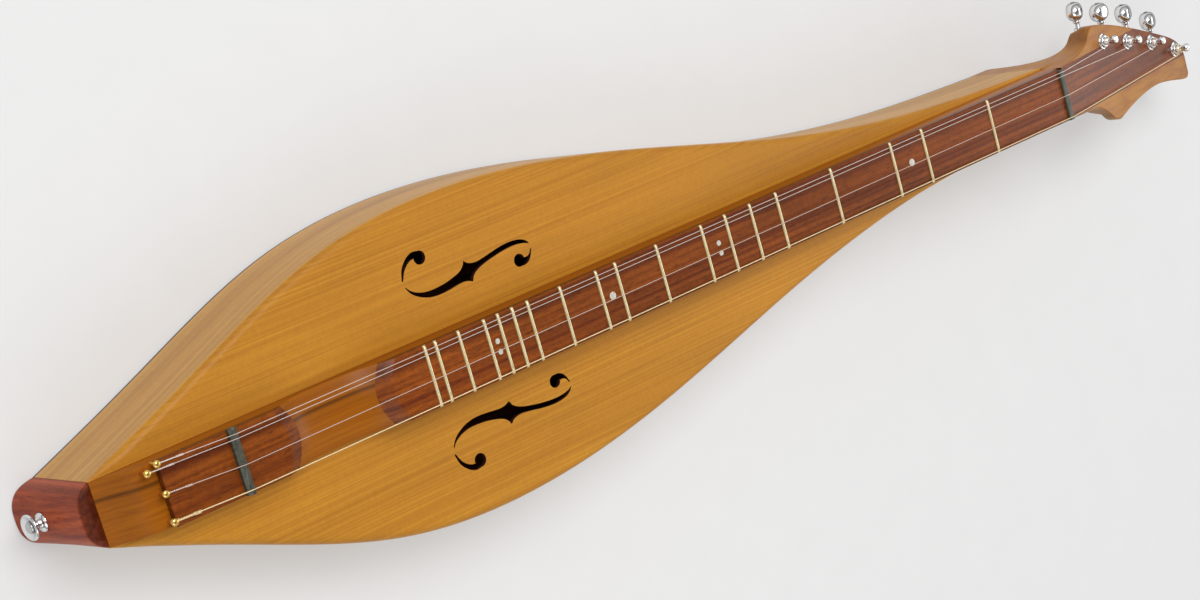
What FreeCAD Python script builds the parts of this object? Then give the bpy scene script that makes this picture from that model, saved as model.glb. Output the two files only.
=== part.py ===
import FreeCAD, Part
import math
import os

# Teardrop mountain dulcimer, in millimetres.
# +X runs from the peghead to the tail, -Y is the melody-string side, +Z is up.
# The origin is the middle of the whole instrument, on the plane of its back.

V = FreeCAD.Vector

# ---- driving dimensions -------------------------------------------------------
SCALE = 711.2                 # 28 in, nut to the theoretical bridge line
NUT_X = -313.7                # string edge of the nut, in the part's frame
BODY_FRONT = -6.0             # stations are distances from the nut towards the tail
BODY_TAIL = 792.5
BODY_DEPTH = 69.5             # back to soundboard, outside
PLATE = 3.2                   # soundboard and back
SIDE = 2.5
EDGE_ROUND = 3.0              # round-over of the soundboard's rim
# half-width of the body at stations from the nut
BODY_PROFILE = ((BODY_FRONT, 20.4), (90, 24.3), (180, 33.6), (280, 53.3), (400, 82.5),
                (520, 97.6), (620, 86.4), (720, 48.0), (BODY_TAIL, 19.2))

BOARD_W = 38.1                # 1.5 in fretboard
OVERLAY = 5.0                 # fingerboard, bridge island and peghead overlay
FRET_TOP = BODY_DEPTH + 21.35
BOARD_TOP = FRET_TOP - 1.2
BASE_TOP = BOARD_TOP - OVERLAY
FRET_STEPS = (2, 4, 5, 7, 9, 10, 11, 12, 14, 16, 17, 19, 21, 22, 23, 24, 26, 28, 29)

# the strum hollow: centre-line profile, and the radius of its crown across the board
HOLLOW = ((598.0, 3.6), (606.5, -0.4), (615.0, -5.0), (628.0, -8.4), (642.0, -9.2),
          (656.0, -8.8), (664.5, -7.2), (671.0, -4.4), (678.5, -0.3), (687.0, 4.4))
CROWN = 52.0
ISLAND_TAIL = 760.0
RAMP_START = 766.0

BRIDGE_X = 712.0              # compensated a little past the scale length
BRIDGE_T = 4.6
BRIDGE_RISE = 3.4             # bridge top over the fret tops
BRIDGE_ENDS = (-20.3, 19.0)   # it overhangs the melody edge a little
NUT_T = 5.0
NUT_RISE = 0.6
NUT_ENDS = (-17.8, 19.0)

# strings from melody to bass: radius, and Y at the nut, the bridge and the tail pin
STRINGS = ((0.18, -16.2, -16.4, -18.0), (0.18, -13.3, -13.7, -15.1),
           (0.20, 1.0, 1.7, -0.9), (0.34, 17.2, 16.3, 15.3))
PIN_X = (761.4, 768.4, 761.7, 761.9)
PIN_SHANK = 1.2
PIN_HEAD = 2.3
PIN_RISE = 6.8                # underside of the pin's head over the base

# peghead: tilted back, with four tuners in line along the melody edge
TILT = math.radians(12.0)
HEAD_TOP = BOARD_TOP - 0.3
HEAD_T = 9.8
TUNERS = ((67.6, -21.5), (103.0, -12.4), (139.0, -2.7), (174.0, 11.6))
BUTTON_TURN = (18.0, -4.0, 10.0, 14.0)

# one sealed tuner, in its own frame: x to the peghead's tip, y out to the button, z up the post
POST_R = 3.0
POST_H = 12.0
RUN = 0.05                    # radial running clearance
WORM_X = -6.2                 # the worm lies on the nut side of the post
WORM_Z = -13.4
WORM_R = 1.9
WHEEL_R = 4.1
WHEEL_TEETH = 14
CASE_H = 8.6
BUTTON_Y = 26.6


def at(station, y=0.0, z=0.0):
    """A point given by its distance from the nut."""
    return V(NUT_X + station, y, z)


def box(x0, x1, y0, y1, z0, z1):
    return Part.makeBox(x1 - x0, y1 - y0, z1 - z0, V(x0, y0, z0))


def slab(s0, s1, half, z0, z1):
    """A box between two stations, centred across the instrument."""
    return box(NUT_X + s0, NUT_X + s1, -half, half, z0, z1)


def curve(points):
    line = Part.BSplineCurve()
    line.interpolate(points)
    return line.toShape()


def face(edges):
    return Part.Face(Part.Wire(Part.__sortEdges__(edges)))


def polygon(points):
    return Part.Face(Part.makePolygon(points + [points[0]]))


def cylinder(r, length, base, axis):
    return Part.makeCylinder(r, length, base, axis)


def revolved(profile, base=V(0, 0, 0), axis=V(0, 0, 1)):
    """Turns (radius, height) points about an axis."""
    outline = [V(r, 0, h) for r, h in profile]
    solid = polygon(outline).revolve(V(0, 0, 0), V(0, 0, 1), 360)
    solid.Placement = FreeCAD.Placement(base, FreeCAD.Rotation(V(0, 0, 1), axis))
    return solid


def mirrored(shape):
    return shape.mirror(V(0, 0, 0), V(0, 1, 0))


def save(name, *solids):
    shape = solids[0] if len(solids) == 1 else Part.makeCompound(list(solids))
    shape = shape.removeSplitter() if len(solids) == 1 else shape
    shape.exportStep(os.path.join("parts", name + ".step"))


# ---- body ---------------------------------------------------------------------
def body_face(inset=0.0):
    """The body's outline, drawn in by inset on both sides."""
    bass = [at(s, w - inset) for s, w in BODY_PROFILE]
    melody = [V(p.x, -p.y, 0) for p in bass]
    return face([curve(bass), curve(melody),
                 Part.makeLine(bass[0], melody[0]), Part.makeLine(bass[-1], melody[-1])])


def body_layer(inset, z0, z1, s0=BODY_FRONT, s1=BODY_TAIL):
    layer = body_face(inset).extrude(V(0, 0, z1 - z0))
    layer.translate(V(0, 0, z0))
    if s0 > BODY_FRONT or s1 < BODY_TAIL:
        layer = layer.common(slab(s0, s1, 150, z0 - 1, z1 + 1))
    return layer


# one f-hole, as (station, Y) outlines: two round eyes with curled tails, and a nicked stem
BIG_EYE = (550.4, 64.0, 4.2)
BIG_TAIL = (((550.4, 68.2), (555.2, 68.6), (560.4, 66.0), (564.8, 61.0), (566.9, 54.5)),
            ((566.0, 54.2), (563.4, 59.2), (560.6, 62.2), (557.4, 64.1), (554.4, 64.6)))
SMALL_EYE = (482.2, 39.2, 4.0)
SMALL_TAIL = (((482.2, 35.2), (477.6, 35.5), (473.8, 38.2), (471.3, 43.2)),
              ((472.2, 43.4), (473.6, 41.0), (475.9, 39.7), (478.4, 39.8)))
STEM = (((566.0, 50.1), (563.3, 45.9), (559.0, 42.6), (554.0, 40.3), (548.9, 39.0), (543.1, 38.6),
         (536.7, 39.0), (531.1, 39.7), (526.3, 40.1), (522.4, 39.7), (518.7, 38.2)),
        ((517.3, 41.0), (514.7, 43.1), (510.4, 44.9), (503.5, 46.6), (496.2, 47.9), (489.6, 48.7),
         (483.4, 49.0), (478.0, 48.5), (474.1, 47.5), (471.6, 46.3)),
        ((472.6, 48.2), (475.2, 50.1), (479.4, 51.5), (485.4, 52.1), (492.0, 51.8), (499.0, 50.8),
         (505.6, 49.6), (511.3, 48.8), (515.9, 49.0), (519.2, 50.2), (521.4, 52.2)),
        ((522.5, 50.0), (524.7, 47.9), (528.2, 46.2), (533.5, 44.8), (538.6, 43.8), (544.2, 43.3),
         (549.7, 43.2), (554.5, 43.8), (559.2, 45.3), (563.1, 47.7), (565.4, 50.4)))


def closed_outline(runs):
    """A face whose outline is a chain of smooth runs, with short straight joints."""
    edges = []
    for i, run in enumerate(runs):
        following = runs[(i + 1) % len(runs)]
        edges.append(curve([at(*p) for p in run]))
        edges.append(Part.makeLine(at(*run[-1]), at(*following[0])))
    return face(edges)


def sound_holes():
    """Cutters for the f-hole on the bass side."""
    height = V(0, 0, PLATE + 2)
    cutters = [closed_outline(runs).extrude(height) for runs in (BIG_TAIL, SMALL_TAIL, STEM)]
    cutters += [cylinder(r, height.z, at(s, y), V(0, 0, 1)) for s, y, r in (BIG_EYE, SMALL_EYE)]
    holes = cutters[0].multiFuse(cutters[1:])
    holes.translate(V(0, 0, BODY_DEPTH - PLATE - 1))
    return holes


def rounded_rim(plate, z, radius):
    """Rounds a plate's long rims at height z."""
    rims = [e for e in plate.Edges
            if e.BoundBox.XLength > 600 and abs(e.BoundBox.ZMin - z) < 0.01
            and abs(e.BoundBox.ZMax - z) < 0.01]
    return plate.makeFillet(radius, rims)


def soundboard():
    plate = rounded_rim(body_layer(0, BODY_DEPTH - PLATE, BODY_DEPTH), BODY_DEPTH, EDGE_ROUND)
    holes = sound_holes()
    return plate.cut(holes).cut(mirrored(holes))


def back():
    return rounded_rim(body_layer(0, 0, PLATE), 0, 1.2)


def sides():
    """The bass and the melody side, each one bent strip."""
    z0, z1 = PLATE, BODY_DEPTH - PLATE
    ring = body_layer(0, z0, z1).cut(body_layer(SIDE, z0 - 1, z1 + 1))
    return sorted(ring.Solids, key=lambda s: -s.CenterOfMass.y)


HEAD_BLOCK_END = 45.0
TAIL_BLOCK_START = 766.0
LINING_W = 6.0
LINING_H = 12.0


def linings(z0):
    ring = body_layer(SIDE, z0, z0 + LINING_H, HEAD_BLOCK_END, TAIL_BLOCK_START)
    ring = ring.cut(body_layer(SIDE + LINING_W, z0 - 1, z0 + LINING_H + 1))
    return ring.Solids


def braces(stations, z0, height, width=8.0):
    """Cross braces that end against the linings."""
    inset = SIDE + LINING_W
    return [body_layer(inset, z0, z0 + height, s - width / 2, s + width / 2) for s in stations]


def tail_block():
    return body_layer(SIDE, PLATE, BODY_DEPTH - PLATE, TAIL_BLOCK_START, BODY_TAIL)


# tail cap and strap button
CAP_FOOT = ((0.0, 19.0), (6.0, 17.9), (12.5, 15.0), (17.0, 9.0), (18.2, 0.0))
CAP_TOP = ((0.0, 19.0), (5.0, 15.9), (8.5, 11.5), (9.8, 6.0), (10.0, 0.0))
STRAP_Z = 29.8                # height of the button's seat
STRAP_LEAN = math.atan2(CAP_FOOT[-1][0] - CAP_TOP[-1][0], BODY_DEPTH)
STRAP_FOOT = 5.8
STRAP_DISH = 7.8
SCREW_R = 1.6
SCREW_IN = 9.0


def cap_outline(points, z):
    """Half-outline points past the seam, mirrored and closed along the seam."""
    half = [at(BODY_TAIL + d, w, z) for d, w in points]
    line = half + [V(p.x, -p.y, z) for p in reversed(half[:-1])]
    return Part.Wire([curve(line), Part.makeLine(line[-1], line[0])])


def cap_blank():
    """The end cap carries on the body's taper and leans out towards the back."""
    cap = Part.makeLoft([cap_outline(CAP_FOOT, 0.0), cap_outline(CAP_TOP, BODY_DEPTH)], True, True)
    rims = {0.0: 1.2, BODY_DEPTH: 2.0}
    for z, radius in rims.items():
        rim = [e for e in cap.Edges if e.BoundBox.ZLength < 0.01 and abs(e.BoundBox.ZMin - z) < 0.01
               and e.BoundBox.XLength > 5]
        cap = cap.makeFillet(radius, rim)
    return cap


def strap_axis():
    """Seat of the strap button on the cap, and its outward axis."""
    reach = CAP_FOOT[-1][0] - STRAP_Z * math.tan(STRAP_LEAN)
    return at(BODY_TAIL + reach, 0, STRAP_Z), V(math.cos(STRAP_LEAN), 0, math.sin(STRAP_LEAN))


def tail_cap():
    base, axis = strap_axis()
    return cap_blank().cut(cylinder(SCREW_R, SCREW_IN, base, -axis))


def strap_button():
    base, axis = strap_axis()
    spool = [(SCREW_R, -1.5), (STRAP_FOOT - 0.4, -1.5), (STRAP_FOOT, 1.0), (5.2, 2.0), (3.8, 2.8),
             (3.3, 4.6), (3.9, 6.2), (6.6, 7.4), (STRAP_DISH, 8.2), (STRAP_DISH, 9.0),
             (STRAP_DISH - 0.7, 9.6), (4.0, 8.6), (SCREW_R, 8.0)]
    return revolved(spool, base, axis).cut(cap_blank())


def strap_screw():
    base, axis = strap_axis()
    screw = [(0, -SCREW_IN), (SCREW_R, -SCREW_IN), (SCREW_R, 8.0), (3.6, 8.5), (3.0, 9.6), (0, 10.2)]
    return revolved(screw, base, axis)


# ---- fretboard ----------------------------------------------------------------
def hollow_cutter():
    """What the strum hollow takes away: everything outside a crowned, waisted bar."""
    axis_z = BOARD_TOP - CROWN
    profile = [at(s, 0, BOARD_TOP + d) for s, d in HOLLOW]
    first = V(profile[0].x, 0, axis_z)
    last = V(profile[-1].x, 0, axis_z)
    half = face([curve(profile), Part.makeLine(profile[-1], last), Part.makeLine(last, first),
                 Part.makeLine(first, profile[0])])
    bar = half.revolve(first, V(1, 0, 0), 360)
    return slab(HOLLOW[0][0], HOLLOW[-1][0], 30, BASE_TOP - 14, BOARD_TOP + 8).cut(bar)


def fretboard_base():
    """The board under the fingerboard; past the pins it ramps down to the soundboard."""
    half = BOARD_W / 2
    board = slab(BODY_FRONT, BODY_TAIL, half, BODY_DEPTH, BASE_TOP)
    rise = BASE_TOP - BODY_DEPTH
    run = BODY_TAIL - RAMP_START
    ramp = [at(RAMP_START, 0, BASE_TOP), at(RAMP_START + 0.22 * run, 0, BASE_TOP - 0.10 * rise),
            at(RAMP_START + 0.55 * run, 0, BASE_TOP - 0.48 * rise),
            at(RAMP_START + 0.8 * run, 0, BASE_TOP - 0.80 * rise), at(BODY_TAIL, 0, BODY_DEPTH + 0.4)]
    over = at(BODY_TAIL, 0, BASE_TOP)
    waste = face([curve(ramp), Part.makeLine(ramp[-1], over), Part.makeLine(over, ramp[0])])
    waste = waste.extrude(V(0, 60, 0))
    waste.translate(V(0, -30, 0))
    board = board.cut(waste).cut(hollow_cutter())
    board = board.common(body_layer(0, BODY_DEPTH - 1, BASE_TOP + 1))
    for s, pin in zip(PIN_X, STRINGS):
        board = board.cut(cylinder(PIN_SHANK, 9.0, at(s, pin[3], BASE_TOP - 8.0), V(0, 0, 1)))
    return board


def fret_station(step):
    return SCALE * (1 - 2 ** (-step / 12))


TANG_W = 0.6
TANG_H = 2.0
CROWN_W = 2.5


def fret(station):
    """One fret: a round crown on a tang, bevelled at both ends."""
    rise = FRET_TOP - BOARD_TOP
    left = at(station - CROWN_W / 2, -BOARD_W / 2, BOARD_TOP)
    top = at(station, -BOARD_W / 2, FRET_TOP)
    right = at(station + CROWN_W / 2, -BOARD_W / 2, BOARD_TOP)
    crown = face([Part.Arc(left, top, right).toShape(), Part.makeLine(right, left)])
    crown = crown.extrude(V(0, BOARD_W, 0))
    half = BOARD_W / 2
    bevel = polygon([V(0, -half, BOARD_TOP), V(0, half, BOARD_TOP), V(0, half - rise, FRET_TOP + 0.1),
                     V(0, rise - half, FRET_TOP + 0.1)])
    bevel = bevel.extrude(V(2 * CROWN_W, 0, 0))
    bevel.translate(at(station - CROWN_W))
    tang = slab(station - TANG_W / 2, station + TANG_W / 2, half, BOARD_TOP - TANG_H, BOARD_TOP)
    return crown.common(bevel).fuse(tang).removeSplitter()


def frets():
    return [fret(fret_station(n)) for n in FRET_STEPS]


DOT_T = 1.0


def position_dots():
    """Single dots in three spaces, and a pair in two, flush with the fingerboard."""
    places = [(162.0, 0.0, 2.5), (436.5, 0.0, 2.5)]
    places += [(s, y, 1.7) for s in (344.4, 527.6) for y in (-3.3, 3.3)]
    return [cylinder(r, DOT_T, at(s, y, BOARD_TOP - DOT_T), V(0, 0, 1)) for s, y, r in places]


def fingerboard():
    board = slab(0, HOLLOW[4][0], BOARD_W / 2, BASE_TOP, BOARD_TOP).cut(hollow_cutter())
    for n in FRET_STEPS:
        s = fret_station(n)
        board = board.cut(slab(s - TANG_W / 2, s + TANG_W / 2, 25, BOARD_TOP - TANG_H, BOARD_TOP + 1))
    for dot in position_dots():
        board = board.cut(dot)
    return board


def bridge_island():
    return slab(HOLLOW[4][0], ISLAND_TAIL, BOARD_W / 2, BASE_TOP, BOARD_TOP).cut(hollow_cutter())


# ---- nut, bridge and pins -----------------------------------------------------
def string_height(s):
    """Height of the strings' undersides between nut and bridge."""
    nut_z = FRET_TOP + NUT_RISE - 0.2
    bridge_z = FRET_TOP + BRIDGE_RISE - 0.2
    return nut_z + (bridge_z - nut_z) * s / BRIDGE_X


def notches(s, column, depth_z, length):
    """Round-bottomed string notches across the nut or the bridge."""
    cuts = []
    for string in STRINGS:
        r = string[0] + 0.05
        y = string[column]
        groove = cylinder(r, length, at(s, y, depth_z + string[0]), V(1, 0, 0))
        slot = box(NUT_X + s, NUT_X + s + length, y - r, y + r, depth_z + string[0], depth_z + 3)
        cuts.append(groove.fuse(slot))
    return cuts


def nut():
    top = FRET_TOP + NUT_RISE
    bar = box(NUT_X - NUT_T, NUT_X, *NUT_ENDS, BASE_TOP, top)
    upper = [e for e in bar.Edges if e.BoundBox.ZMin > top - 0.01 and e.BoundBox.YLength > 30]
    bar = bar.makeFillet(0.7, upper)
    for cut in notches(-NUT_T - 1, 1, string_height(0), NUT_T + 2):
        bar = bar.cut(cut)
    return bar


def bridge():
    """A slim bar whose top is bevelled towards the tail."""
    top = FRET_TOP + BRIDGE_RISE
    s0 = BRIDGE_X - 1.0
    s1 = s0 + BRIDGE_T
    section = [at(s0, 0, BOARD_TOP), at(s0, 0, top - 0.5), at(s0 + 0.5, 0, top), at(s0 + 1.9, 0, top),
               at(s1, 0, top - 1.7), at(s1, 0, BOARD_TOP)]
    bar = polygon(section).extrude(V(0, BRIDGE_ENDS[1] - BRIDGE_ENDS[0], 0))
    bar.translate(V(0, BRIDGE_ENDS[0], 0))
    for cut in notches(s0 - 1, 2, string_height(BRIDGE_X), BRIDGE_T + 2):
        bar = bar.cut(cut)
    return bar


def string_pins():
    """Round-headed brass nails, one for each string's loop."""
    pins = []
    for s, string in zip(PIN_X, STRINGS):
        profile = [(0, -8.0), (PIN_SHANK, -7.0), (PIN_SHANK, PIN_RISE), (PIN_HEAD, PIN_RISE),
                   (PIN_HEAD - 0.1, PIN_RISE + 0.6), (PIN_HEAD - 0.9, PIN_RISE + 1.3),
                   (0, PIN_RISE + 1.6)]
        pins.append(revolved(profile, at(s, string[3], BASE_TOP)))
    return pins


# ---- peghead ------------------------------------------------------------------
TIP = 189.0
# half outlines of the peghead, seen square on: distance past the nut, and Y
MELODY_EDGE = ((1.0, -20.4), (18.0, -20.5), (32.0, -22.4), (43.0, -26.6), (50.0, -32.6),
               (56.5, -35.9), (66.0, -34.8), (86.0, -29.8), (108.0, -22.8), (130.0, -14.9),
               (158.0, -4.2), (173.0, 2.2), (182.5, 8.6), (187.0, 16.0))
TIP_EDGE = ((187.0, 16.0), (188.8, 22.0), (TIP, 30.0), (187.2, 35.4), (181.0, 36.8))
BASS_EDGE = ((181.0, 36.8), (161.0, 32.8), (141.0, 29.8), (123.0, 29.6), (105.0, 31.3),
             (87.0, 34.3), (75.0, 37.0), (68.0, 38.2), (61.0, 35.5), (54.0, 29.4), (43.0, 22.8),
             (30.0, 20.6), (1.0, 20.4))


def head_point(s, y, n=0.0):
    """A point on the peghead: s along its face, n above it."""
    return V(NUT_X - NUT_T - s * math.cos(TILT) - n * math.sin(TILT), y,
             HEAD_TOP - s * math.sin(TILT) + n * math.cos(TILT))


def head_frame(s, y):
    """Placement of a part drawn with x to the tip, y to the melody side and z off the face."""
    axes = FreeCAD.Matrix(-math.cos(TILT), 0, -math.sin(TILT), 0,
                          0, -1, 0, 0,
                          -math.sin(TILT), 0, math.cos(TILT), 0,
                          0, 0, 0, 1)
    turned = FreeCAD.Placement(axes)
    return FreeCAD.Placement(head_point(s, y), turned.Rotation)


def placed(shape, frame):
    copy = shape.copy()
    copy.Placement = frame.multiply(copy.Placement)
    return copy


def head_plan(z0, z1):
    """The peghead's outline as an upright prism."""
    flat = []
    for edge in (MELODY_EDGE, TIP_EDGE, BASS_EDGE):
        flat.append(curve([V(head_point(s, y).x, y, 0) for s, y in edge]))
    start = V(head_point(*MELODY_EDGE[0]).x, MELODY_EDGE[0][1], 0)
    end = V(start.x, -start.y, 0)
    prism = face(flat + [Part.makeLine(start, end)]).extrude(V(0, 0, z1 - z0))
    prism.translate(V(0, 0, z0))
    return prism


HEEL_X = -24.0                # the peghead's foot, from the nut
HEEL_FLAT = 16.0              # height where the foot starts to curve away
SEAT_START = 55.0             # the foot ends here in a step, and the tuners sit on the plate past it
FOOT_STEP = 8.0


def head_side_view():
    """Side view: a deep foot that sweeps up into the tilted plate."""
    seat = NUT_X + BODY_FRONT
    plate_start = head_point(SEAT_START, 0, -HEAD_T)
    foot_end = head_point(SEAT_START, 0, -HEAD_T - FOOT_STEP)
    foot = Part.BezierCurve()
    foot.setPoles([at(HEEL_X, 0, HEEL_FLAT), at(HEEL_X, 0, 51.0),
                   head_point(38.0, 0, -HEAD_T - FOOT_STEP - 1.5), foot_end])
    corner = 3.0
    toe = [at(HEEL_X + corner, 0, 0), at(HEEL_X + 0.3 * corner, 0, 0.3 * corner), at(HEEL_X, 0, corner)]
    outline = [head_point(TIP + 4, 0, -HEAD_T), head_point(TIP + 4, 0), head_point(0, 0),
               V(head_point(0, 0).x, 0, BASE_TOP), V(seat, 0, BASE_TOP), V(seat, 0, 0), toe[0]]
    edges = [Part.Arc(*toe).toShape(), Part.makeLine(toe[2], at(HEEL_X, 0, HEEL_FLAT)), foot.toShape(),
             Part.makeLine(foot_end, plate_start), Part.makeLine(plate_start, outline[0])]
    edges += [Part.makeLine(a, b) for a, b in zip(outline, outline[1:])]
    return face(edges)


def overlay_block():
    """The dark strip let into the peghead's face, before it is trimmed to the outline."""
    strip = box(0, TIP + 8, -BOARD_W / 2, BOARD_W / 2, -OVERLAY, 0)
    return placed(strip, head_frame(0, 0)).common(slab(-260, -NUT_T, 60, 0, 120))


def tuner_holes():
    holes = []
    for s, y in TUNERS:
        hole = cylinder(BUSH_R, HEAD_T + 4, V(0, 0, -HEAD_T - 2), V(0, 0, 1))
        screw = cylinder(CASE_SCREW_R, 6.0, V(*CASE_SCREW_AT, -HEAD_T), V(0, 0, 1))
        holes += [placed(hole, head_frame(s, y)), placed(screw, head_frame(s, y))]
    return holes


def peghead():
    """The head plate and its foot, in one piece with the block inside the body."""
    side = head_side_view().extrude(V(0, 100, 0))
    side.translate(V(0, -50, 0))
    block = body_layer(SIDE, PLATE, BODY_DEPTH - PLATE, BODY_FRONT, HEAD_BLOCK_END)
    head = side.common(head_plan(-1, 120)).fuse(block).cut(overlay_block())
    for hole in tuner_holes():
        head = head.cut(hole)
    return head.removeSplitter()


def peghead_overlay():
    strip = overlay_block().common(head_plan(-1, 120))
    for hole in tuner_holes():
        strip = strip.cut(hole)
    return strip


# ---- tuners -------------------------------------------------------------------
BUSH_R = 4.2
CASE_SCREW_R = 1.1
CASE_SCREW_AT = (7.6, -5.6)
CASE_X = (-11.6, 6.0)
CASE_Y = (-6.4, 9.0)
BOSS_Y = 14.0
BOSS_R = 3.2
SHAFT_R = 1.7
WORM_END_R = 1.3              # the worm's inner journal, in a blind hole of the case
WORM_END_Y = -5.6


def tuner_bushing():
    profile = [(POST_R + RUN, -6.0), (BUSH_R, -6.0), (BUSH_R, 0.0), (6.1, 0.0), (6.1, 0.6), (5.6, 1.0),
               (4.9, 1.1), (4.7, 2.4), (4.1, 3.0), (POST_R + RUN, 3.0)]
    return revolved(profile)


def tuner_post():
    """The string post: waisted above the bushing, with a cross hole for the string."""
    low = WORM_Z - 3.0
    profile = [(0, low), (POST_R - 0.6, low), (POST_R - 0.6, WORM_Z + 2.2), (POST_R, WORM_Z + 2.2),
               (POST_R, 4.6), (2.3, 5.4), (2.1, 6.8), (2.3, 8.2), (POST_R, 9.2), (POST_R, 11.2),
               (POST_R - 0.7, POST_H), (0, POST_H)]
    hole = cylinder(0.8, 10, V(-5, 0, 6.8), V(1, 0, 0))
    return revolved(profile).cut(hole)


def worm_wheel():
    """Toothed wheel pressed on the post's foot."""
    root = WHEEL_R - 0.6
    teeth = []
    for k in range(WHEEL_TEETH):
        a = 2 * math.pi * (k + 0.5) / WHEEL_TEETH
        tooth = box(root - 0.5, WHEEL_R, -0.35, 0.35, WORM_Z - 1.8, WORM_Z + 1.8)
        tooth.rotate(V(0, 0, 0), V(0, 0, 1), math.degrees(a))
        teeth.append(tooth)
    wheel = cylinder(root, 3.6, V(0, 0, WORM_Z - 1.8), V(0, 0, 1)).multiFuse(teeth)
    return wheel.cut(cylinder(POST_R - 0.6, 10, V(0, 0, WORM_Z - 5), V(0, 0, 1)))


def worm_shaft():
    """The worm and the shaft that carries the button."""
    worm = [(0, WORM_END_Y), (WORM_END_R, WORM_END_Y), (WORM_END_R, -4.0)]
    pitch = 1.6
    turns = 5
    for k in range(turns):
        y = -4.0 + k * pitch
        worm += [(WORM_R - 0.5, y), (WORM_R, y + 0.35), (WORM_R, y + 0.9), (WORM_R - 0.5, y + 1.25)]
    end = -4.0 + turns * pitch
    worm += [(SHAFT_R, end), (SHAFT_R, BUTTON_Y - 3.0), (0, BUTTON_Y - 3.0)]
    return revolved(worm, V(WORM_X, 0, WORM_Z), V(0, 1, 0))


def case_block(grow=0.0):
    """The case's rounded block; grow makes it larger all round."""
    x0, x1 = CASE_X[0] - grow, CASE_X[1] + grow
    y0, y1 = CASE_Y[0] - grow, CASE_Y[1] + grow
    block = box(x0, x1, y0, y1, -HEAD_T - CASE_H - grow, -HEAD_T)
    upright = [e for e in block.Edges if e.BoundBox.ZLength > 5]
    return block.makeFillet(2.6 + grow, upright)


def tuner_case():
    """Sealed gear case with a screw ear and a boss for the button shaft."""
    case = case_block()
    lower = [e for e in case.Edges if e.BoundBox.ZMax < -HEAD_T - CASE_H + 0.01]
    case = case.makeFillet(1.2, lower)
    ear = cylinder(3.0, 1.8, V(*CASE_SCREW_AT, -HEAD_T - 1.8), V(0, 0, 1))
    case = case.fuse(ear)
    case = case.fuse(cylinder(BOSS_R, BOSS_Y - CASE_Y[1] + 2, V(WORM_X, CASE_Y[1] - 2, WORM_Z), V(0, 1, 0)))
    cavity = case_block(-1.2)
    cavity.translate(V(0, 0, -1.2))
    cavity = cavity.common(box(-20, 20, -20, 20, -HEAD_T - CASE_H + 1.2, -HEAD_T - 1.2))
    case = case.cut(cavity)
    case = case.cut(cylinder(POST_R + RUN, 3, V(0, 0, -HEAD_T - 2), V(0, 0, 1)))
    case = case.cut(cylinder(SHAFT_R + RUN, 20, V(WORM_X, 5, WORM_Z), V(0, 1, 0)))
    case = case.cut(cylinder(WORM_END_R + RUN, 2, V(WORM_X, WORM_END_Y - 0.25, WORM_Z), V(0, 1, 0)))
    return case.cut(cylinder(CASE_SCREW_R, 4, V(*CASE_SCREW_AT, -HEAD_T - 3), V(0, 0, 1)))


def case_screw():
    x, y = CASE_SCREW_AT
    screw = [(0, -1.2), (1.5, -1.2), (2.0, -0.6), (2.0, 0.0), (CASE_SCREW_R, 0.0), (CASE_SCREW_R, 7.6),
             (0, 7.8)]
    return revolved(screw, V(x, y, -HEAD_T - 1.8))


def button_blank(turn):
    """Flattened oval button on a short collar, turned about its shaft."""
    ball = Part.makeSphere(1.0)
    stretch = FreeCAD.Matrix()
    stretch.scale(8.6, 7.4, 6.6)
    oval = ball.transformGeometry(stretch)
    oval = oval.common(box(-9, 9, -7.0, 7.0, -5.6, 5.6))
    oval.translate(V(0, 8.6, 0))
    collar = [(0, 0), (2.6, 0), (2.9, 0.5), (2.9, 1.5), (2.4, 2.2), (2.6, 4.5), (0, 4.5)]
    button = oval.fuse(revolved(collar, V(0, 0, 0), V(0, 1, 0)))
    button.rotate(V(0, 0, 0), V(0, 1, 0), turn)
    button.translate(V(WORM_X, BUTTON_Y - 8.6, WORM_Z))
    return button


BUTTON_TOP = 7.0              # button centre to its flat end
BUTTON_SCREW_R = 1.0


def tuner_button(turn):
    button = button_blank(turn).cut(worm_shaft())
    top = BUTTON_Y + BUTTON_TOP
    hole = cylinder(BUTTON_SCREW_R, top - BUTTON_Y + 3.0, V(WORM_X, BUTTON_Y - 3.0, WORM_Z), V(0, 1, 0))
    return button.cut(hole)


def button_screw():
    top = BUTTON_Y + BUTTON_TOP
    screw = [(0, 0), (BUTTON_SCREW_R, 0), (BUTTON_SCREW_R, BUTTON_TOP + 3.0),
             (1.7, BUTTON_TOP + 3.0), (1.5, BUTTON_TOP + 3.3), (0, BUTTON_TOP + 3.4)]
    return revolved(screw, V(WORM_X, top - BUTTON_TOP - 3.0, WORM_Z), V(0, 1, 0))


# ---- strings ------------------------------------------------------------------
WIND_Z = 3.2                  # foot of the coil on the post, above the peghead's face
WIND_TURNS = (4, 4, 4, 3)
WIND_GAP = 0.2                # between a coil and the string that feeds it
TWIST = 15.0                  # length of the twisted end beside the loop
LOOP_DROP = 0.25              # the loop's drop below the pin's head
STRING_SIDES = 12


def winding(string_r, turns):
    """The string's coil on the post, as one sleeve."""
    r = POST_R + 2 * string_r
    height = 2 * string_r * turns
    sleeve = cylinder(r, height, V(0, 0, WIND_Z), V(0, 0, 1))
    return sleeve.cut(cylinder(POST_R, height + 2, V(0, 0, WIND_Z - 1), V(0, 0, 1)))


def ring(center, along, r):
    """Corners of a many-sided section across a string."""
    side = along.cross(V(0, 1, 0)).normalize()
    up = side.cross(along).normalize()
    steps = [2 * math.pi * k / STRING_SIDES for k in range(STRING_SIDES)]
    return [center + side * (r * math.cos(a)) + up * (r * math.sin(a)) for a in steps]


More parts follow.
